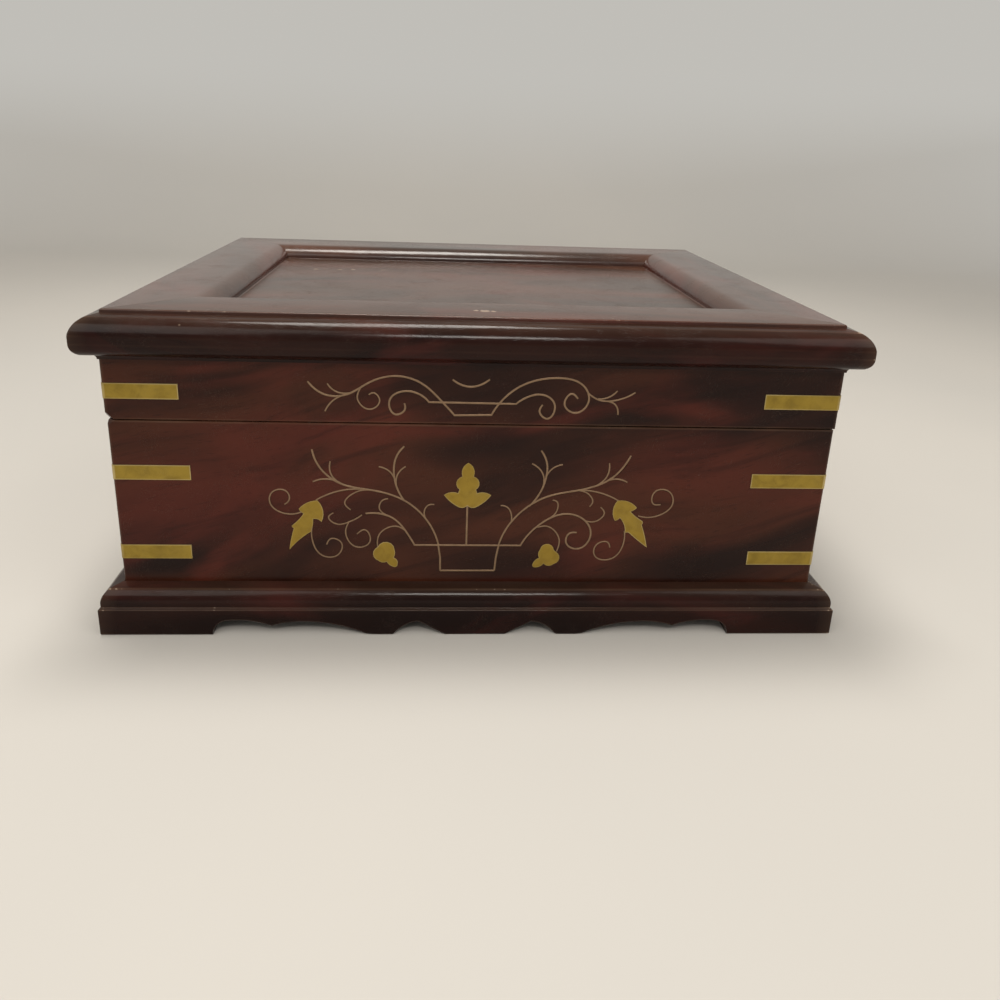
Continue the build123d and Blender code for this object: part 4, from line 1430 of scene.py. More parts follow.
@dataclass
class Moulding:
    """Four mitred runs of one section round the chest."""

    node: str
    body: str
    slot: str
    bends: list[Bend]
    sizes: Chest
    mitre_gap: float = 0.08
    wear_reach: float = 7.0
    wear_stops: tuple[float, ...] = (0.0, 0.25, 1.0)
    wear_fade: float = 0.6
    # The edges' marks: there the finish paints chips and a lighter line, partly wear and partly a painted
    # highlight.
    edge_wear: float = 0.4
    mitre_edge_wear: float = 0.9
    mitre_wear: float = 0.36
    columns: int = 28

    def stations(self, side: Side) -> list[Drawn]:
        """Places along a run, each with how far the lower edge is lifted there, in millimetres.

        Args:
            side: The side that the run lies on.

        Returns:
            Each place along the run and its lift.
        """
        half = self.half_length(side) - self.inner_reach() - self.wear_reach
        return [(half * (2 * i / self.columns - 1), 0.0) for i in range(self.columns + 1)]

    def half_length(self, side: Side) -> float:
        """Half the length of the case's face on that side, in millimetres."""
        return (self.sizes.width if side.long else self.sizes.depth) / 2 / MM

    def half_depth(self, side: Side) -> float:
        """From the chest's middle to that side's face, in millimetres."""
        return (self.sizes.depth if side.long else self.sizes.width) / 2 / MM

    def inner_reach(self) -> float:
        """How far the section reaches inwards from the case's face."""
        return -min(bend.out for bend in self.bends)

    def build(self, side: Side, material: bpy.types.Material) -> bpy.types.Object:
        """One mitred run, from its section at every station and at both mitres.

        Args:
            side: The side that it lies on.
            material: Its finish.

        Returns:
            The run.
        """
        section = section_of(self.bends)
        half, depth = self.half_length(side), self.half_depth(side)
        turn = side.turn()
        points: list[Vector] = []
        wear: list[float] = []

        def ring(mitre_way: float, inset: float, x: float = 0.0, lift: float = 0.0) -> None:
            """Adds the section's points at a station, or near a mitre where the way to it is given.

            Args:
                mitre_way: 1 or -1 for the mitre at that end, and 0 for a station.
                inset: How far from the mitre the points lie.
                x: Where the station is.
                lift: How far the lower edge is lifted there.
            """
            near = max(0.0, 1.0 - inset / (self.wear_fade * self.wear_reach)) if mitre_way else 0.0
            for spot in section:
                mitre = half + spot.out - self.mitre_gap / sqrt(2)
                along = mitre_way * (mitre - inset) if mitre_way else x
                up = spot.up + (lift if spot.lifted else 0.0)
                points.append(turn @ (Vector((along, -depth - spot.out, up)) * MM))
                edge = spot.wear * (self.edge_wear + self.mitre_edge_wear * near)
                wear.append(min(1.0, edge + self.mitre_wear * near))

        for stop in self.wear_stops:
            ring(-1.0, stop * self.wear_reach)
        for x, lift in self.stations(side):
            ring(0.0, 0.0, x, lift)
        for stop in reversed(self.wear_stops):
            ring(1.0, stop * self.wear_reach)
        count = len(section)
        last = len(points) - count
        faces = []
        for i in range(0, last, count):
            for j in range(count):
                after = (j + 1) % count
                faces.append((i + j, i + after, i + count + after, i + count + j))
        faces.append(tuple(range(count)))
        faces.append(tuple(last + j for j in reversed(range(count))))
        return mesh_piece(f"{self.node}_{side.word}_run", points, faces, material, wear)

    def dress(self, finish: Callable[[Run], Finish]) -> None:
        """Builds all four runs and hands them over.

        Args:
            finish: Gives the finish for a direction of grain.
        """
        for side in Side:
            run = self.build(side, finish(run_of(side)).material())
            hand_over(run, self.body, self.slot, f"{self.node}_{side.word}")


@dataclass
class Plinth(Moulding):
    """The plinth, with its scalloped lower edge."""

    foot_length: float = 46.8
    foot_edge: float = 1.4
    reach: float = 8.8
    arch_a: tuple[float, float, float] = (25.0, 7.0, 6.8)
    arch_b: tuple[float, float, float] = (43.0, 14.6, 6.3)
    cusp: float = 4.2
    swells: tuple[float, float, float, float] = (1.5, 1.05, 0.67, 1.6)
    point: tuple[float, float, float, float] = (8.0, 23.0, 6.4, 1.6)
    under: float = -1.0
    foot_step: float = 0.01
    curve_steps: int = 9

    def scallop(self, side: Side) -> list[tuple[Drawn, float]]:
        """The corners of the right half's lower edge from the foot inwards, each with the next swell.

        Args:
            side: The side that the run lies on.

        Returns:
            Each corner, in millimetres, and how far the next stretch swells.
        """
        foot = self.half_length(side) + self.reach - self.foot_length
        cusp = foot - self.arch_a[0]
        end = cusp - self.arch_b[0]
        line = [
            ((foot, 0.0), 0.0),
            ((foot - self.foot_step, self.foot_edge), self.swells[0]),
            ((foot - self.arch_a[1], self.arch_a[2]), self.swells[1]),
            ((cusp, self.cusp), self.swells[2]),
            ((cusp - self.arch_b[1], self.arch_b[2]), self.swells[3]),
            ((end, self.under), 0.0),
        ]
        if side.long:
            gap, span, rise, swell = self.point
            line += [
                ((end - gap, self.under), swell),
                ((end - gap - span / 2, rise), 0.0),
                ((end - gap - span, self.under), 0.0),
            ]
        return line

    def stations(self, side: Side) -> list[Drawn]:
        """Places along a run that follow the scallops, the same on both halves.

        Args:
            side: The side that the run lies on.

        Returns:
            Each place along the run and its lift.
        """
        line = self.scallop(side)
        half: list[Drawn] = []
        for (start, swell), (end, _) in zip(line, line[1:]):
            for step in range(self.curve_steps if swell or end[1] > 0 > start[1] else 1):
                x, z = bowed(np.array(start), np.array(end), swell, step / self.curve_steps)
                half.append((float(x), max(0.0, float(z))))
        half.append((line[-1][0][0], 0.0))
        half.sort()
        return [(-x, lift) for x, lift in reversed(half)] + half


# The plinth's section: flat face, small step, round and sloping ledge
PLINTH = [
    Bend(-12.0, 0.0, lifted=True),
    Bend(8.8, 0.0, ease=0.9, lifted=True),
    Bend(8.8, 12.1, ease=0.45),
    Bend(7.7, 12.65, ease=0.4, swell=1.2),
    Bend(4.8, 20.1, ease=0.7),
    Bend(0.0, 21.2, ease=0.15),
    Bend(0.0, 10.0),
    Bend(-12.0, 10.0),
]

# The cornice's section: small cove, soffit, round nose and ledge under the frame
CORNICE = [
    Bend(0.4, 119.0),
    Bend(0.7, 119.0, ease=0.12, swell=-0.6, wear=0.3),
    Bend(2.6, 121.2, ease=0.3, wear=0.6),
    Bend(5.0, 121.6, ease=0.5, swell=0.87, wear=0.4),
    Bend(8.0, 126.5, ease=0.6, wear=0.15),
    Bend(8.0, 129.7, ease=0.6, swell=1.09, wear=0.15),
    Bend(2.7, 136.4, ease=0.7, wear=0.5),
    Bend(-1.3, 137.2),
    Bend(-1.3, 124.6),
    Bend(0.4, 124.6),
]

# A rail's section: flat, round inner moulding, ledge, and the groove for the panel
TOP_FRAME = [
    Bend(-1.3, 124.6),
    Bend(-1.3, 138.65, ease=0.75),
    Bend(-30.0, 138.65, ease=1.4, swell=0.72, wear=0.0),
    Bend(-36.9, 135.15, ease=0.8, swell=0.34, wear=0.3),
    Bend(-38.4, 131.45, ease=0.2, wear=0.2),
    Bend(-39.2, 131.3),
    Bend(-39.2, 131.25),
    Bend(-34.2, 131.25),
    Bend(-34.2, 127.15),
    Bend(-39.2, 127.15),
    Bend(-39.2, 124.6),
]


def edge_plate(
    name: str,
    outline: Sequence[Vector],
    push: Vector,
    ease: float,
    rim: float,
    material: bpy.types.Material,
) -> bpy.types.Object:
    """A flat or bent plate: an outline pushed to a thickness, its edges eased and its rim marked, where the
    brass paints wear and a highlight.

    Args:
        name: The piece's name.
        outline: Its outline, in metres.
        push: The way and the distance that the outline is pushed.
        ease: The width of the eased edges.
        rim: The width of the marked rim on each broad face.
        material: Its finish.

    Returns:
        The plate.
    """
    eased_angle, smooth_angle = 35.0, 30.0
    least_broad = 12.0 * MM * MM
    roundness = 0.6
    form = bmesh.new()
    face = form.faces.new([form.verts.new(point) for point in outline])
    pushed = bmesh.ops.extrude_face_region(form, geom=[face])["geom"]
    moved = [part for part in pushed if isinstance(part, bmesh.types.BMVert)]
    bmesh.ops.translate(form, verts=moved, vec=push)
    bmesh.ops.recalc_face_normals(form, faces=form.faces)
    sharp = [e for e in form.edges if e.calc_face_angle(0.0) > radians(eased_angle)]
    bevel = {"offset": ease, "segments": 2, "profile": roundness, "affect": "EDGES", "clamp_overlap": True}
    bmesh.ops.bevel(form, geom=sharp, **bevel)
    broad = [f for f in form.faces if f.calc_area() > least_broad]
    bmesh.ops.inset_individual(form, faces=broad, thickness=rim, use_even_offset=True)
    form.verts.index_update()
    layer = form.verts.layers.float.new("edge")
    inner = {vert.index for f in broad for vert in f.verts}
    for vert in form.verts:
        vert[layer] = 0.0 if vert.index in inner else 1.0
    mesh = bpy.data.meshes.new(name)
    form.to_mesh(mesh)
    form.free()
    mesh.materials.append(material)
    shade(mesh, smooth_angle)
    return link(name, mesh)


@dataclass
class Straps:
    """Brass straps let in round the upright corners, with eased edges and rims that carry a painted
    highlight, partly rubbed brass.
    """

    sizes: Chest
    ease: float = 0.16 * MM
    rim: float = 0.35 * MM
    thickness: float = 1.0 * MM
    corner_radius: float = 1.2 * MM
    corner_steps: int = 6
    levels: tuple[tuple[str, str], ...] = (("lower", "case"), ("upper", "case"), ("lid", "lid"))

    def build(self, node: str) -> bpy.types.Object:
        """One strap, its sizes read from the box of the node that it stands for.

        Args:
            node: The frame's node.

        Returns:
            The strap.
        """
        low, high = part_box(node)
        way = Vector((1 if high.x > 0 else -1, 1 if high.y > 0 else -1))
        corner = Vector((high.x if way.x > 0 else low.x, high.y if way.y > 0 else low.y))
        leg = high.x - low.x
        thick, worn = self.thickness, self.corner_radius
        plan = [Vector(p) for p in ((leg, 0), (leg, thick), (thick, thick), (thick, leg), (0, leg))]
        for step in range(self.corner_steps + 1):
            turn = pi / 2 * step / self.corner_steps
            plan.append(Vector((worn * (1 - cos(turn)), worn * (1 - sin(turn)))))
        outline = [Vector((corner.x - way.x * p.x, corner.y - way.y * p.y, low.z)) for p in plan]
        push = Vector((0, 0, high.z - low.z))
        return edge_plate(f"{node}_brass", outline, push, self.ease, self.rim, Finishes.STRAP.material())

    def dress(self) -> None:
        """Builds the twelve straps and hands them over."""
        for level, body in self.levels:
            for across in ("left", "right"):
                for along in ("front", "back"):
                    node = f"strap_{level}_{along}_{across}"
                    hand_over(self.build(node), body, "strap_brass", node)


@dataclass(frozen=True)
class Stroke:
    """A wire through points drawn on the front, as (x, z) in millimetres."""

    width: float
    points: list[Drawn]


STEM, TWIG, TENDRIL = 0.8, 0.65, 0.6

CASE_VINE_LEFT = [
    Stroke(
        STEM,
        [(-16.4, 38.9), (-22, 51.2), (-31, 59.5), (-45, 64.2), (-57.5, 67), (-65.5, 73.5), (-69, 82.2)],
    ),
    Stroke(TWIG, [(-56.5, 66.6), (-61.3, 71), (-61.6, 77)]),
    Stroke(TWIG, [(-56.5, 66.6), (-63, 69), (-69, 67.8)]),
    Stroke(TWIG, [(-46, 64.3), (-55, 64.3), (-68, 59.4)]),
    Stroke(TENDRIL, [(-44, 64), (-52, 62.8), (-56, 58.3), (-53.6, 55.1)]),
    Stroke(STEM, [(-31.3, 59.8), (-34, 65), (-35.4, 72), (-34.5, 79), (-31.1, 84)]),
    Stroke(TWIG, [(-34.7, 67.5), (-37, 72.5), (-41.7, 74.8)]),
    Stroke(TWIG, [(-34.4, 66.5), (-33.8, 71.5), (-30.5, 75)]),
    Stroke(TENDRIL, [(-21.7, 50.8), (-22.6, 54.5), (-21.3, 57.2), (-18.4, 57.8)]),
    Stroke(STEM, [(-26.7, 38.8), (-29.5, 43.8), (-35.8, 51.3), (-40.5, 53.2), (-47.3, 53.4)]),
    Stroke(TENDRIL, [(-38.8, 52.9), (-41.6, 56.4), (-40.4, 59.4), (-37.9, 60.3)]),
    Stroke(TENDRIL, [(-29.9, 44.8), (-35, 47.6), (-40.5, 45.2), (-42.3, 37)]),
    Stroke(TENDRIL, [(-48.9, 52.8), (-54.5, 49.4), (-60, 48.6), (-62.9, 51.6), (-60.8, 53.6)]),
    Stroke(TENDRIL, [(-54.3, 49.6), (-55.8, 43.8), (-51, 37.6), (-45.6, 40.5), (-47.6, 45.8), (-51.1, 43.8)]),
    Stroke(
        TENDRIL,
        [(-69.9, 47), (-70, 41), (-66, 33.6), (-59.5, 33.8), (-58, 40), (-62, 41.6), (-64, 38.8)],
    ),
    Stroke(
        TENDRIL,
        [(-74, 54), (-80, 53), (-86.8, 57.5), (-85.8, 63), (-80, 63.3), (-78.9, 60), (-81, 57.4)],
    ),
]
CASE_VINE_RIGHT = [
    Stroke(STEM, [(9.6, 38.9), (12, 45.5), (19, 55), (30, 62), (43, 65), (55.5, 69.8), (64, 81)]),
    Stroke(TWIG, [(50, 67), (54.5, 71.5), (55.1, 77.5)]),
    Stroke(TWIG, [(54, 69), (59.5, 70.2), (63.4, 68.8)]),
    Stroke(TWIG, [(43.5, 65), (51.5, 64), (60.5, 60.1)]),
    Stroke(TENDRIL, [(43, 64.8), (48, 62.4), (49.2, 60), (48, 57.4)]),
    Stroke(STEM, [(22, 57.3), (26.5, 64), (28.6, 71), (28.6, 77), (25.9, 82.8)]),
    Stroke(TWIG, [(28.3, 70), (30.8, 74.5), (35.3, 76.6)]),
    Stroke(TWIG, [(27.4, 66), (27, 72.5), (22.3, 76.9)]),
    Stroke(TENDRIL, [(14.5, 49.6), (14.6, 53), (12.8, 56.7), (9.8, 57.6)]),
    Stroke(
        STEM,
        [(19.1, 38.8), (27.3, 49.1), (37, 53.8), (45.5, 51.6), (49.4, 44), (44.3, 37.3)]
        + [(39, 40), (39.8, 44.4), (43.2, 45.1)],
    ),
    Stroke(TENDRIL, [(30.6, 51.6), (34.2, 56), (33.8, 59.6), (31.9, 60.3)]),
    Stroke(TENDRIL, [(46.6, 50.7), (51.8, 50.8), (54.6, 54.2), (52.8, 57.2)]),
    Stroke(TENDRIL, [(26, 47.4), (30.5, 47.9), (35.2, 43.5), (35, 36)]),
    Stroke(
        TENDRIL,
        [(64, 46), (64.2, 40.5), (59.5, 32.6), (52.2, 33.6), (52.5, 39.5), (57, 40.6), (58.3, 38)],
    ),
    Stroke(TENDRIL, [(69.5, 53.2), (77, 53), (84, 59), (81.5, 65), (75.5, 64.2), (75.5, 59), (78.8, 58.6)]),
]
CASE_VASE = [
    Stroke(STEM, [(-27, 38.7), (19.4, 38.7)]),
    Stroke(STEM, [(-16.5, 38.7), (-15.6, 33), (-15.5, 26.4), (8.1, 26.5), (8.6, 33), (9.6, 38.7)]),
    Stroke(STEM, [(-4.4, 38.7), (-4.4, 58.5)]),
]
LID_VINE_LEFT = [
    Stroke(
        STEM,
        [(-10.6, 97.8), (-15.6, 103.4), (-24.4, 111.4), (-34.5, 114.2), (-45, 111.4), (-55, 105.9)]
        + [(-62, 105.7), (-69.7, 111.4)],
    ),
    Stroke(TWIG, [(-53, 106.8), (-59, 107.6), (-61.9, 110.6)]),
    Stroke(TWIG, [(-54, 106.2), (-60, 103.3), (-63.1, 98.9)]),
    Stroke(TENDRIL, [(-48, 110), (-49.7, 103.5), (-45, 100), (-41.1, 104.2), (-43.6, 107), (-45.4, 106.2)]),
    Stroke(
        STEM,
        [(-21.1, 103.4), (-25.5, 106.9), (-31, 107.9), (-37.2, 103.5), (-34.5, 97.9), (-31, 100)]
        + [(-31.1, 102.8)],
    ),
]
LID_VINE_RIGHT = [
    Stroke(
        STEM,
        [(4.4, 98.2), (8.5, 104.5), (16, 110.8), (31, 114.5), (41.7, 111.4), (44.2, 104.8), (39, 99.7)]
        + [(34.3, 104), (37, 107.9), (39.7, 105.9)],
    ),
    Stroke(TWIG, [(43.6, 108.6), (49.5, 105.2), (57, 105.8), (63.3, 108.9)]),
    Stroke(TWIG, [(48, 105.9), (53, 107), (55.8, 109.5)]),
    Stroke(TWIG, [(50.5, 105), (55.5, 103.4), (56.8, 99.2)]),
    Stroke(
        STEM,
        [(14.4, 103.2), (18.5, 106), (25, 107.3), (30.4, 102.5), (27.4, 97), (24.2, 100), (25.3, 103)],
    ),
]
LID_VASE = [
    Stroke(STEM, [(-21.4, 103.4), (14.7, 103.2)]),
    Stroke(STEM, [(-10.9, 97.9), (4.7, 98.3)]),
]
LID_CREST = [Stroke(STEM, [(-11.7, 113.1), (-4.6, 110.2), (3.3, 113.4)])]

# Leaves, each a closed chain of arcs: corner, middle of arc, corner and so on.
CENTRE_X = -4.4
CENTRE_HALF = [
    *[(0, 77), (2.2, 74.8), (2.4, 70.8), (4.7, 68.7), (3.5, 64.8), (3.8, 64), (4.0, 63.2), (7.0, 63.6)],
    *[(10.0, 62.3), (7.3, 59.2), (4.2, 57), (2.0, 56.4), (0, 57.4)],
]
CENTRE_LEAF = [
    *[(CENTRE_X + x, z) for x, z in CENTRE_HALF],
    *[(CENTRE_X - x, z) for x, z in CENTRE_HALF[-2:0:-1]],
]
LEAF_LEFT = [
    *[(-67.3, 59.3), (-65.4, 56), (-65.9, 49.3), (-67.5, 50.6), (-69.4, 50.7), (-69.6, 47.6)],
    *[(-70.5, 44.8), (-75.4, 41), (-79.8, 36.2), (-78.9, 41.5), (-77.6, 46.4), (-78.2, 46.9)],
    *[(-78.4, 47.6), (-76.2, 49.6), (-73.3, 53.2), (-74.5, 54.1), (-75.2, 55.4), (-71.8, 58.2)],
]
LEAF_RIGHT = [
    *[(59.9, 60.3), (65, 59.8), (68.6, 57), (67.4, 55.9), (66, 55.2), (68.2, 53.1), (71.5, 50.8)],
    *[(71.8, 49.9), (71.4, 49), (72.8, 45), (74.6, 38.1), (70.4, 41.4), (66, 45.2), (65.1, 45.3)],
    *[(64.3, 44.9), (63.7, 48.8), (61.6, 52.2), (60.7, 51.3), (59.5, 50.8), (58.2, 55)],
]
BUD_LEFT = [
    *[(-42.4, 37.7), (-38.8, 40.2), (-35.2, 36.4), (-35, 34.4), (-35.6, 32.7), (-34.2, 31.6), (-33.9, 29.4)],
    *[(-34.3, 28.4), (-35.2, 28.1), (-37.2, 29), (-38.6, 30.7), (-40.2, 30.3), (-42, 31.1), (-44.4, 34.6)],
]
BUD_RIGHT = [
    *[(33.4, 37.9), (30.9, 39.6), (27.7, 36.8), (27, 34.6), (27.5, 32.8), (25.9, 31.8)],
    *[(24.9, 30), (24.8, 28.8), (25.4, 28.2), (28, 28.6), (29.6, 30), (31.3, 29)],
    *[(34, 29.8), (36.4, 32.6), (34.8, 35.7), (33.9, 36.6)],
]


def smooth_line(points: Sequence[Drawn], steps: int = 10) -> np.ndarray:
    """Points along the smooth cubic line through the drawn ones.

    Args:
        points: The drawn points.
        steps: How many steps each span is divided into.

    Returns:
        The points along the line, as rows.
    """
    drawn = np.array(points, float)
    if len(drawn) < 3:
        return drawn
    spans = np.hypot(*np.diff(drawn, axis=0).T)
    slopes = np.diff(drawn, axis=0) / spans[:, None]
    count = len(drawn)
    ways = np.zeros((count, count))
    right = np.zeros((count, 2))
    ways[0, 0] = ways[-1, -1] = 1.0
    first, second = spans[:2]
    right[0] = ((2 * first + second) * slopes[0] - first * slopes[1]) / (first + second)
    last, before = spans[-1], spans[-2]
    right[-1] = ((2 * last + before) * slopes[-1] - last * slopes[-2]) / (last + before)
    for i in range(1, count - 1):
        ways[i, i - 1 : i + 2] = spans[i], 2 * (spans[i - 1] + spans[i]), spans[i - 1]
        right[i] = 3 * (spans[i] * slopes[i - 1] + spans[i - 1] * slopes[i])
    tangents = np.linalg.solve(ways, right)
    rows = []
    for i in range(count - 1):
        for step in range(steps):
            s = step / steps
            rows.append(
                (2 * s**3 - 3 * s**2 + 1) * drawn[i]
                + (s**3 - 2 * s**2 + s) * spans[i] * tangents[i]
                + (3 * s**2 - 2 * s**3) * drawn[i + 1]
                + (s**3 - s**2) * spans[i] * tangents[i + 1]
            )
    rows.append(drawn[-1])
    return np.array(rows)


def arc_through(start: Drawn, middle: Drawn, end: Drawn, steps: int) -> list[Drawn]:
    """Points of the arc through three points, without the last one.

    Args:
        start: Where the arc starts.
        middle: A point that it goes through.
        end: Where it ends.
        steps: How many steps it is divided into.

    Returns:
        The points along the arc.
    """
    straight = 1e-6
    a, b, c = complex(*start), complex(*middle), complex(*end)
    w = (c - a) / (b - a)
    if abs(w.imag) < straight:
        across, up = end[0] - start[0], end[1] - start[1]
        return [(start[0] + across * i / steps, start[1] + up * i / steps) for i in range(steps)]
    centre = (b - a) * (w - abs(w) ** 2) / (2j * w.imag) + a
    first, mid, last = (np.angle(p - centre) for p in (a, b, c))
    to_mid, to_last = (mid - first) % (2 * pi), (last - first) % (2 * pi)
    sweep = to_last if to_mid < to_last else to_last - 2 * pi
    radius = abs(a - centre)
    turns = [first + sweep * i / steps for i in range(steps)]
    return [(centre.real + radius * cos(turn), centre.imag + radius * sin(turn)) for turn in turns]


@dataclass
class Inlay:
    """The brass drawing on the front: wires by a rule, leaves cut from sheet."""

    sizes: Chest
    proud: float = 0.12 * MM
    sheet_depth: float = 0.5 * MM
    leaf_ease: float = 0.11 * MM
    leaf_rim: float = 0.3 * MM
    leaf_steps: int = 6
    stagger: float = 0.004 * MM

    def face(self, body: str) -> float:
        """The y of the front face of that body."""
        return -self.sizes.depth / 2 - (self.sizes.skirt_face if body == "lid" else 0.0)

    def wires(self, node: str, body: str, strokes: Sequence[Stroke], smooth: bool) -> None:
        """Lays the wires of one node.

        Args:
            node: The node that they stand for.
            body: The body that they ride on.
            strokes: Their lines.
            smooth: Whether a line bends smoothly, or sharply at each point.
        """
        points: list[tuple[float, float, float]] = []
        edges: list[tuple[int, int]] = []
        widths: list[float] = []
        for order, stroke in enumerate(strokes):
            line = smooth_line(stroke.points) if smooth else np.array(stroke.points, float)
            first = len(points)
            points += [(x * MM, z * MM, order * self.stagger) for x, z in line]
            widths += [stroke.width * MM] * len(line)
            edges += [(first + i, first + i + 1) for i in range(len(line) - 1)]
        mesh = bpy.data.meshes.new(node)
        mesh.from_pydata(points, edges, [])
        mesh.attributes.new("width", "FLOAT", "POINT").data.foreach_set("value", widths)
        source = link(f"{node}_wire", mesh)
        piece = WIRES.run(source, Finishes.WIRE.material(), Surface=self.face(body))
        hand_over(piece, body, "wire_brass", node)

    def leaf(self, node: str, chain: Sequence[Drawn]) -> None:
        """Cuts one leaf of the case's vine.

        Args:
            node: The node that it stands for.
            chain: Its outline as a closed chain of arcs.
        """
        corners, middles = chain[::2], chain[1::2]
        outline: list[Drawn] = []
        for start, middle, end in zip(corners, middles, [*corners[1:], corners[0]]):
            outline += arc_through(start, middle, end, self.leaf_steps)
        back = self.face("case") + self.sheet_depth
        points = [Vector((x * MM, back, z * MM)) for x, z in outline]
        push = Vector((0, -self.sheet_depth - self.proud, 0))
        material = Finishes.LEAF.material()
        piece = edge_plate(f"{node}_sheet", points, push, self.leaf_ease, self.leaf_rim, material)
        hand_over(piece, "case", "leaf_brass", node)

    def dress(self) -> None:
        """Lays every wire and leaf."""
        drawings = [
            ("inlay_vine_left", "case", CASE_VINE_LEFT, True),
            ("inlay_vine_right", "case", CASE_VINE_RIGHT, True),
            ("inlay_vase", "case", CASE_VASE, False),
            ("inlay_lid_vine_left", "lid", LID_VINE_LEFT, True),
            ("inlay_lid_vine_right", "lid", LID_VINE_RIGHT, True),
            ("inlay_lid_vase", "lid", LID_VASE, False),
            ("inlay_lid_crest", "lid", LID_CREST, True),
        ]
        for node, body, strokes, smooth in drawings:
            self.wires(node, body, strokes, smooth)
        leaves = [
            ("inlay_leaf_centre", CENTRE_LEAF),
            ("inlay_leaf_left", LEAF_LEFT),
            ("inlay_leaf_right", LEAF_RIGHT),
            ("inlay_bud_left", BUD_LEFT),
            ("inlay_bud_right", BUD_RIGHT),
        ]
        for node, chain in leaves:
            self.leaf(node, chain)


@dataclass
class Hinges:
    """Two brass butt hinges with their knuckles, pins and screws."""

    sizes: Chest
    pivot: Vector
    offset: float = 95.0 * MM
    length: float = 38.0 * MM
    width: float = 8.0 * MM
    thickness: float = 1.2 * MM
    radius: float = 2.2 * MM
    pin_radius: float = 1.0 * MM
    knuckles: int = 3
    gap: float = 0.2 * MM
    notch_room: float = 0.3 * MM
    pin_excess: float = 0.3 * MM
    ease: float = 0.14 * MM
    rim: float = 0.4 * MM
    screw_pitch: float = 24.0 * MM
    screw_setback: float = 4.8 * MM

    @staticmethod
    def spots(name: str, places: Iterable[Vector], down: bool = False) -> bpy.types.Object:
        """An object with only points, for a rule to set things on.

        Args:
            name: The object's name.
            places: Its points.
            down: Whether what is set on them looks down.

        Returns:
            The object.
        """
        mesh = bpy.data.meshes.new(name)
        mesh.from_pydata([tuple(place) for place in places], [], [])
        values = [1.0 if down else 0.0] * len(mesh.vertices)
        mesh.attributes.new("down", "FLOAT", "POINT").data.foreach_set("value", values)
        return link(name, mesh)

    def leaf(self, word: str, centre: float, body: str) -> None:
        """One leaf: a plate that is notched for the other leaf's knuckles, and its own knuckles.

        Args:
            word: Left or right.
            centre: The middle of the hinge along X.
            body: The body that the leaf is screwed to.
        """
        on_case = body == "case"
        pivot = self.pivot
        low = self.sizes.case_top - self.thickness if on_case else self.sizes.skirt_foot
        pitch = self.length / self.knuckles
        notch = pivot.y - self.radius - self.notch_room
        start = centre - self.length / 2
        front = pivot.y - self.width
        plan = [(start, front), (start + self.length, front)]
        mine: list[Vector] = []
        for i in reversed(range(self.knuckles)):
            left, right = start + i * pitch, start + (i + 1) * pitch
            own = (i % 2 == 0) == on_case
            reach = pivot.y if own else notch
            trim = self.gap / 2 if own else -self.gap / 2
            left_edge = left if i == 0 and not own else left + trim
            right_edge = right if i == self.knuckles - 1 and not own else right - trim
            plan += [(right_edge, reach), (left_edge, reach)]
            if own:
                mine.append(Vector(((left + right) / 2, pivot.y, pivot.z)))
        outline = [Vector((x, y, low)) for x, y in plan]
        material = Finishes.HINGE.material()
        name = f"hinge_{word}_{body}_leaf"
        push = Vector((0, 0, self.thickness))
        plate = edge_plate(f"{name}_plate", outline, push, self.ease, self.rim, material)
        points = self.spots(f"{name}_barrels", mine)
        barrels = KNUCKLES.run(points, material, Radius=self.radius, Length=pitch - self.gap)
        hand_over(plate, body, "hinge_brass", name)
        hand_over(barrels, body, "hinge_brass")

    def dress(self) -> None:
        """Builds both hinges and all screws."""
        material = Finishes.HINGE.material()
        pivot = self.pivot
        for word, centre in (("left", -self.offset), ("right", self.offset)):
            for body in ("case", "lid"):
                self.leaf(word, centre, body)
            middle = self.spots(f"hinge_{word}_pin_rod", [Vector((centre, pivot.y, pivot.z))])
            rod = {"Radius": self.pin_radius, "Length": self.length + self.pin_excess}
            pin = KNUCKLES.run(middle, material, **rod)
            hand_over(pin, "case", "hinge_brass", f"hinge_{word}_pin")
        half = self.screw_pitch / 2
        across = [centre + step for centre in (-self.offset, self.offset) for step in (-half, half)]
        for body, height in (("case", self.sizes.case_top), ("lid", self.sizes.skirt_foot)):
            places = [Vector((x, pivot.y - self.screw_setback, height)) for x in across]
            points = self.spots(f"hinge_screws_{body}_slotted", places, down=body == "lid")
            screws = SCREWS.run(points, material)
            hand_over(screws, body, "hinge_brass", f"hinge_screws_{body}")


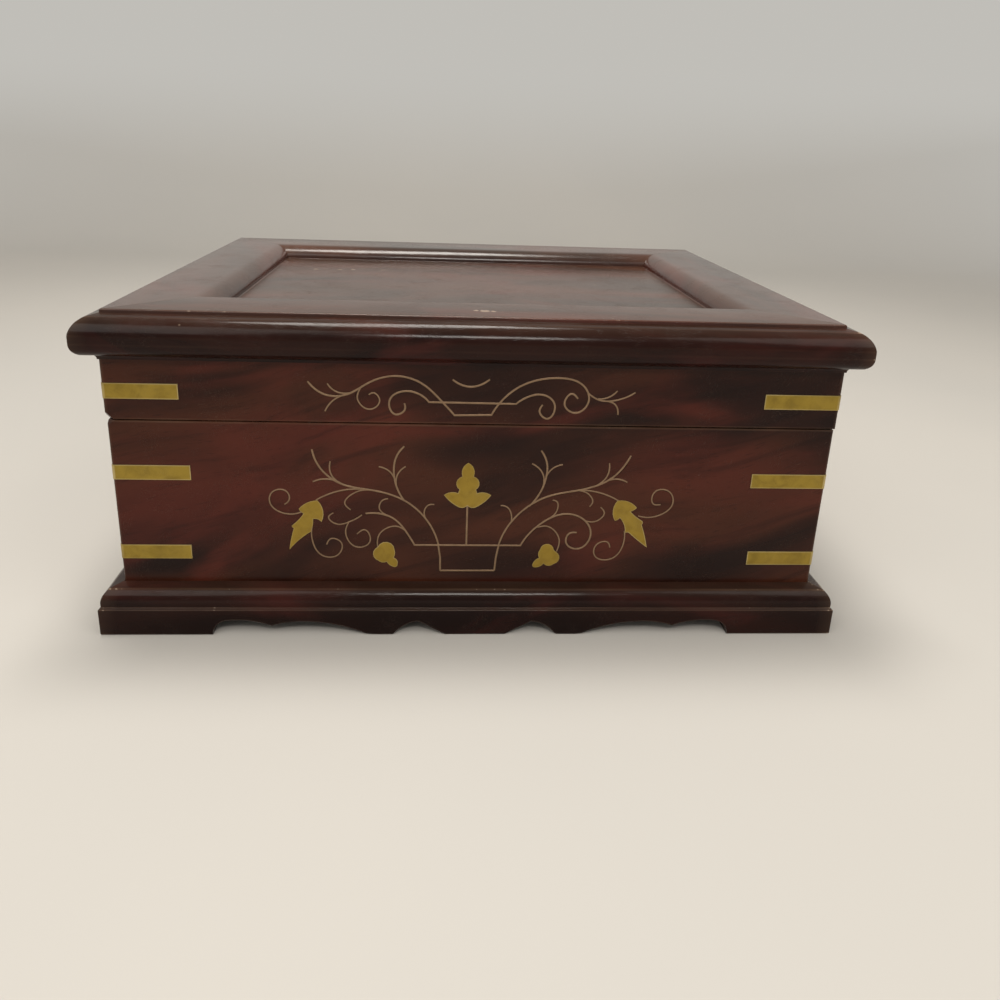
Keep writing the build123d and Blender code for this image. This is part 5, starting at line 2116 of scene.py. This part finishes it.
@dataclass
class Lining:
    """Velvet over card: a soft pad on the bottom, four walls and one sheet under the lid."""

    sizes: Chest
    cell: float = 2.5 * MM
    crown: float = 0.5 * MM
    ripple: float = 0.18 * MM
    broad_waves: float = 28.0
    fine_waves: Drawn = (90.0, 0.4)
    settled: float = 0.9
    inset: float = 0.12 * MM
    roll: float = 1.6 * MM
    roll_share: float = 0.9
    roll_fall: float = 0.75
    crown_reach: float = 12.0 * MM
    wear_reach: float = 3.0 * MM
    fewest_cells: int = 8
    smooth_angle: float = 70.0

    def height(self, spot: Vector, near: float, thick: float, roll: float) -> float:
        """How high the padded face stands.

        Args:
            spot: The place on it.
            near: How far the place is from the nearest edge.
            thick: The pad's thickness.
            roll: How far its rolled edge reaches.

        Returns:
            The height over the pad's back.
        """
        fall = roll * (1 - min(1.0, near / roll)) ** 2
        soft = min(1.0, near / self.crown_reach)
        scale, share = self.fine_waves
        sway = noise.noise(spot * self.broad_waves) + share * noise.noise(spot * scale)
        ripple = self.ripple * (sway - self.settled) * soft
        return thick - fall * self.roll_fall - self.crown * (1 - soft) + ripple

    def pad(self, name: str, low: Vector, high: Vector, up: int, way: float) -> bpy.types.Object:
        """A padded board that fills a box, with rolled edges and a crown on its open face.

        Args:
            name: The piece's name.
            low: The lowest corner of its box.
            high: The highest corner of its box.
            up: The axis that its open face looks along, by number.
            way: 1 where the open face looks along that axis and -1 where it looks back.

        Returns:
            The pad.
        """
        across = [axis for axis in range(3) if axis != up]
        spans = [high[axis] - low[axis] - 2 * self.inset for axis in across]
        thick = high[up] - low[up]
        counts = [max(self.fewest_cells, round(span / self.cell)) for span in spans]
        roll = min(thick * self.roll_share, self.roll)
        base = low[up] if way > 0 else high[up]
        points: list[Vector] = []
        wear: list[float] = []
        ring: dict[tuple[int, int, int], int] = {}
        for layer in range(2):
            for i in range(counts[0] + 1):
                for j in range(counts[1] + 1):
                    spot = Vector((0, 0, 0))
                    from_edge = []
                    for axis, k, count, span in zip(across, (i, j), counts, spans):
                        off = span * (0.5 - abs(k / count - 0.5))
                        from_edge.append(off)
                        spot[axis] = low[axis] + self.inset + span * k / count
                    near = min(from_edge)
                    spot[up] = base + way * (self.height(spot, near, thick, roll) if layer else 0.0)
                    ring[layer, i, j] = len(points)
                    points.append(spot)
                    wear.append(1.0 - min(1.0, near / self.wear_reach) if layer else 0.0)
        faces = []
        for layer in range(2):
            for i in range(counts[0]):
                for j in range(counts[1]):
                    faces.append([ring[layer, i + a, j + b] for a, b in ((0, 0), (1, 0), (1, 1), (0, 1))])
        for i in range(counts[0]):
            for j in (0, counts[1]):
                faces.append([ring[0, i, j], ring[0, i + 1, j], ring[1, i + 1, j], ring[1, i, j]])
        for j in range(counts[1]):
            for i in (0, counts[0]):
                faces.append([ring[0, i, j], ring[0, i, j + 1], ring[1, i, j + 1], ring[1, i, j]])
        return mesh_piece(name, points, faces, Finishes.VELVET.material(), wear, self.smooth_angle)

    def dress(self) -> None:
        """Lines the case and the lid."""
        boards = [
            ("lining_floor", 2, 1.0, "case", 0.75),
            ("lining_front", 1, 1.0, "case", 0.9),
            ("lining_back", 1, -1.0, "case", 0.9),
            ("lining_left", 0, 1.0, "case", 0.9),
            ("lining_right", 0, -1.0, "case", 0.9),
            ("lining_lid", 2, -1.0, "lid", 0.9),
        ]
        for node, up, way, body, fill in boards:
            low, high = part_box(node)
            piece = self.pad(f"{node}_velvet", low, high, up, way)
            hand_over(piece, body, "velvet", node)


def dress_boards(nodes: dict[str, bpy.types.Object]) -> None:
    """Gives every board and panel that the frame carries its finish.

    Args:
        nodes: The frame's nodes by name.
    """
    boards = [(part, side) for part in ("case", "skirt") for side in Side]
    finishes = {f"{part}_{side.word}": Finishes.board(run_of(side)) for part, side in boards}
    finishes["lid_panel"] = Finishes.PANEL
    finishes["bottom_panel"] = Finishes.PANEL
    for node, finish in finishes.items():
        nodes[node].data.materials.clear()
        nodes[node].data.materials.append(finish.material())
        log.info("%s keeps its shape", node)


# The photograph's view


@dataclass(frozen=True)
class Lamp:
    """A soft rectangular lamp, with its place and size in metres and its power in watts."""

    name: str
    place: tuple[float, float, float]
    size: tuple[float, float]
    watts: float


@dataclass(frozen=True)
class Studio:
    """A plain pale floor, soft light and the photograph's camera."""

    eye: tuple[float, float, float] = (-17.48, -442.08, 206.26)
    focal_px: float = 829.45
    pitch: float = 17.75
    yaw: float = 3.75
    roll: float = 2.03
    centre_px: tuple[float, float] = (489.82, 403.92)
    image: float = 1000.0
    film_width: float = 36.0
    clipping: tuple[float, float] = (0.01, 20.0)
    aim: tuple[float, float, float] = (0.0, 0.0, 0.06)
    lamps: tuple[Lamp, ...] = (
        Lamp("above", (-0.08, 0.1, 1.15), (0.5, 0.3), 8.5),
        Lamp("front", (0.07, -1.2, 1.1), (0.4, 0.2), 5.0),
        Lamp("front_left", (-0.7, -0.95, 1.15), (0.9, 0.9), 5.2),
        Lamp("front_right", (0.85, -0.75, 1.05), (0.8, 0.8), 3.6),
    )
    floor_colour: Colour = (0.60, 0.575, 0.535)
    wall_colour: Colour = (0.575, 0.555, 0.52)
    lamp_colour: Colour = (1.0, 0.955, 0.89)
    pale_colour: Colour = (0.53, 0.515, 0.48)
    air_colour: Colour = (0.41, 0.395, 0.37)
    floor_roughness: float = 0.85
    floor_clouds: float = 2.5
    wall_rise: Drawn = (0.0, 0.35)
    far: Drawn = (0.9, 2.4)

    def camera(self) -> None:
        """Sets the camera where the photograph was taken from."""
        data = bpy.data.cameras.new("view")
        data.sensor_width = self.film_width
        data.lens = self.focal_px / self.image * data.sensor_width
        data.shift_x = (self.image / 2 - self.centre_px[0]) / self.image
        data.shift_y = -(self.image / 2 - self.centre_px[1]) / self.image
        data.clip_start, data.clip_end = self.clipping
        camera = bpy.data.objects.new("view", data)
        yaw, pitch, roll = radians(self.yaw), radians(self.pitch), radians(self.roll)
        ahead = Vector((sin(yaw) * cos(pitch), cos(yaw) * cos(pitch), -sin(pitch)))
        level = Vector((cos(yaw), -sin(yaw), 0.0))
        above = level.cross(ahead)
        right = level * cos(roll) + above * sin(roll)
        up = above * cos(roll) - level * sin(roll)
        camera.matrix_world = Matrix((right, up, -ahead)).transposed().to_4x4()
        camera.location = Vector(self.eye) * MM
        bpy.context.scene.collection.objects.link(camera)
        bpy.context.scene.camera = camera

    def hang(self, lamp: Lamp) -> None:
        """Hangs a lamp so that it faces the chest.

        Args:
            lamp: The lamp.
        """
        data = bpy.data.lights.new(lamp.name, "AREA")
        data.shape = "RECTANGLE"
        data.size, data.size_y = lamp.size
        data.energy = lamp.watts
        data.color = self.lamp_colour
        piece = bpy.data.objects.new(lamp.name, data)
        piece.location = lamp.place
        ahead = Vector(self.aim) - Vector(lamp.place)
        piece.rotation_euler = ahead.to_track_quat("-Z", "Y").to_euler()
        bpy.context.scene.collection.objects.link(piece)

    def backdrop(self) -> None:
        """A floor that sweeps up into a wall behind, as one smooth sheet."""
        reach, back, wall, bend, steps, smooth_angle = 2.6, 1.5, 2.2, 0.5, 12, 60.0
        profile = [(-reach, 0.0), (back - bend, 0.0)]
        for i in range(1, steps + 1):
            turn = pi / 2 * i / steps
            profile.append((back - bend + bend * sin(turn), bend * (1 - cos(turn))))
        profile.append((back, wall))
        points = [(x, y, z) for x in (-reach, reach) for y, z in profile]
        count = len(profile)
        faces = [(i, i + 1, count + i + 1, count + i) for i in range(count - 1)]
        mesh = bpy.data.meshes.new("floor")
        mesh.from_pydata(points, [], faces)
        mesh.materials.append(self.paper())
        shade(mesh, smooth_angle)
        link("floor", mesh)

    def paper(self) -> bpy.types.Material:
        """The backdrop's pale matt paint, a little uneven.

        Returns:
            The material.
        """
        material = bpy.data.materials.new("pale_floor")
        material.use_nodes = True
        sheet = ShaderSheet(material.node_tree)
        shader = material.node_tree.nodes["Principled BSDF"]
        clouds = sheet.ramp(sheet.speckle(sheet.place(), self.floor_clouds, 3, 0.5), 0.3, 0.7)
        colour = sheet.mix(clouds, solid(self.floor_colour), solid(self.wall_colour))
        sheet.feed(shader.inputs["Base Color"], colour)
        shader.inputs["Roughness"].default_value = self.floor_roughness
        pale = sheet.step("ShaderNodeEmission", {"Color": solid(self.pale_colour), "Strength": 1.0})
        risen = sheet.ramp(sheet.parts(sheet.place())[2], *self.wall_rise)
        far = sheet.ramp(sheet.length(sheet.place()), *self.far)
        seen = sheet.maths("MULTIPLY", self.seen(sheet), sheet.maths("MAXIMUM", risen, far))
        mixed = sheet.step("ShaderNodeMixShader", {0: seen, 1: shader.outputs[0], 2: pale})
        sheet.feed(material.node_tree.nodes["Material Output"].inputs["Surface"], mixed)
        return material

    @staticmethod
    def seen(sheet: ShaderSheet) -> Socket:
        """1 for rays from the camera and for reflections, 0 for rays that light the chest."""
        ray = sheet.add("ShaderNodeLightPath").outputs
        return sheet.maths("MAXIMUM", ray["Is Camera Ray"], ray["Is Glossy Ray"])

    def light(self) -> None:
        """Soft lamps above and in front, and an even world."""
        for lamp in self.lamps:
            self.hang(lamp)
        world = bpy.data.worlds.new("studio")
        world.use_nodes = True
        sheet = ShaderSheet(world.node_tree)
        background = world.node_tree.nodes["Background"].inputs
        ray = sheet.add("ShaderNodeLightPath").outputs
        colour = sheet.mix(ray["Is Camera Ray"], solid(self.air_colour), solid(self.pale_colour))
        sheet.feed(background["Color"], colour)
        background["Strength"].default_value = 1.0
        bpy.context.scene.world = world

    def set_up(self) -> None:
        """Camera, backdrop and light."""
        self.camera()
        self.backdrop()
        self.light()
        bpy.context.scene.view_settings.view_transform = "Standard"


def main() -> None:
    """Builds the looks in order."""
    logging.basicConfig(level=logging.INFO, format="%(message)s")
    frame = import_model()
    sizes = Chest.measured()
    Studio().set_up()
    dress_boards(frame["nodes"])
    Plinth("plinth", "case", "moulding_wood", PLINTH, sizes).dress(Finishes.moulding)
    Moulding("cornice", "lid", "moulding_wood", CORNICE, sizes).dress(Finishes.moulding)
    Moulding("lid_rail", "lid", "lid_wood", TOP_FRAME, sizes).dress(Finishes.lid)
    Straps(sizes).dress()
    Inlay(sizes).dress()
    Hinges(sizes, Vector(frame["joints"][0]["pos_m"])).dress()
    Lining(sizes).dress()


if __name__ == "__main__":
    main()
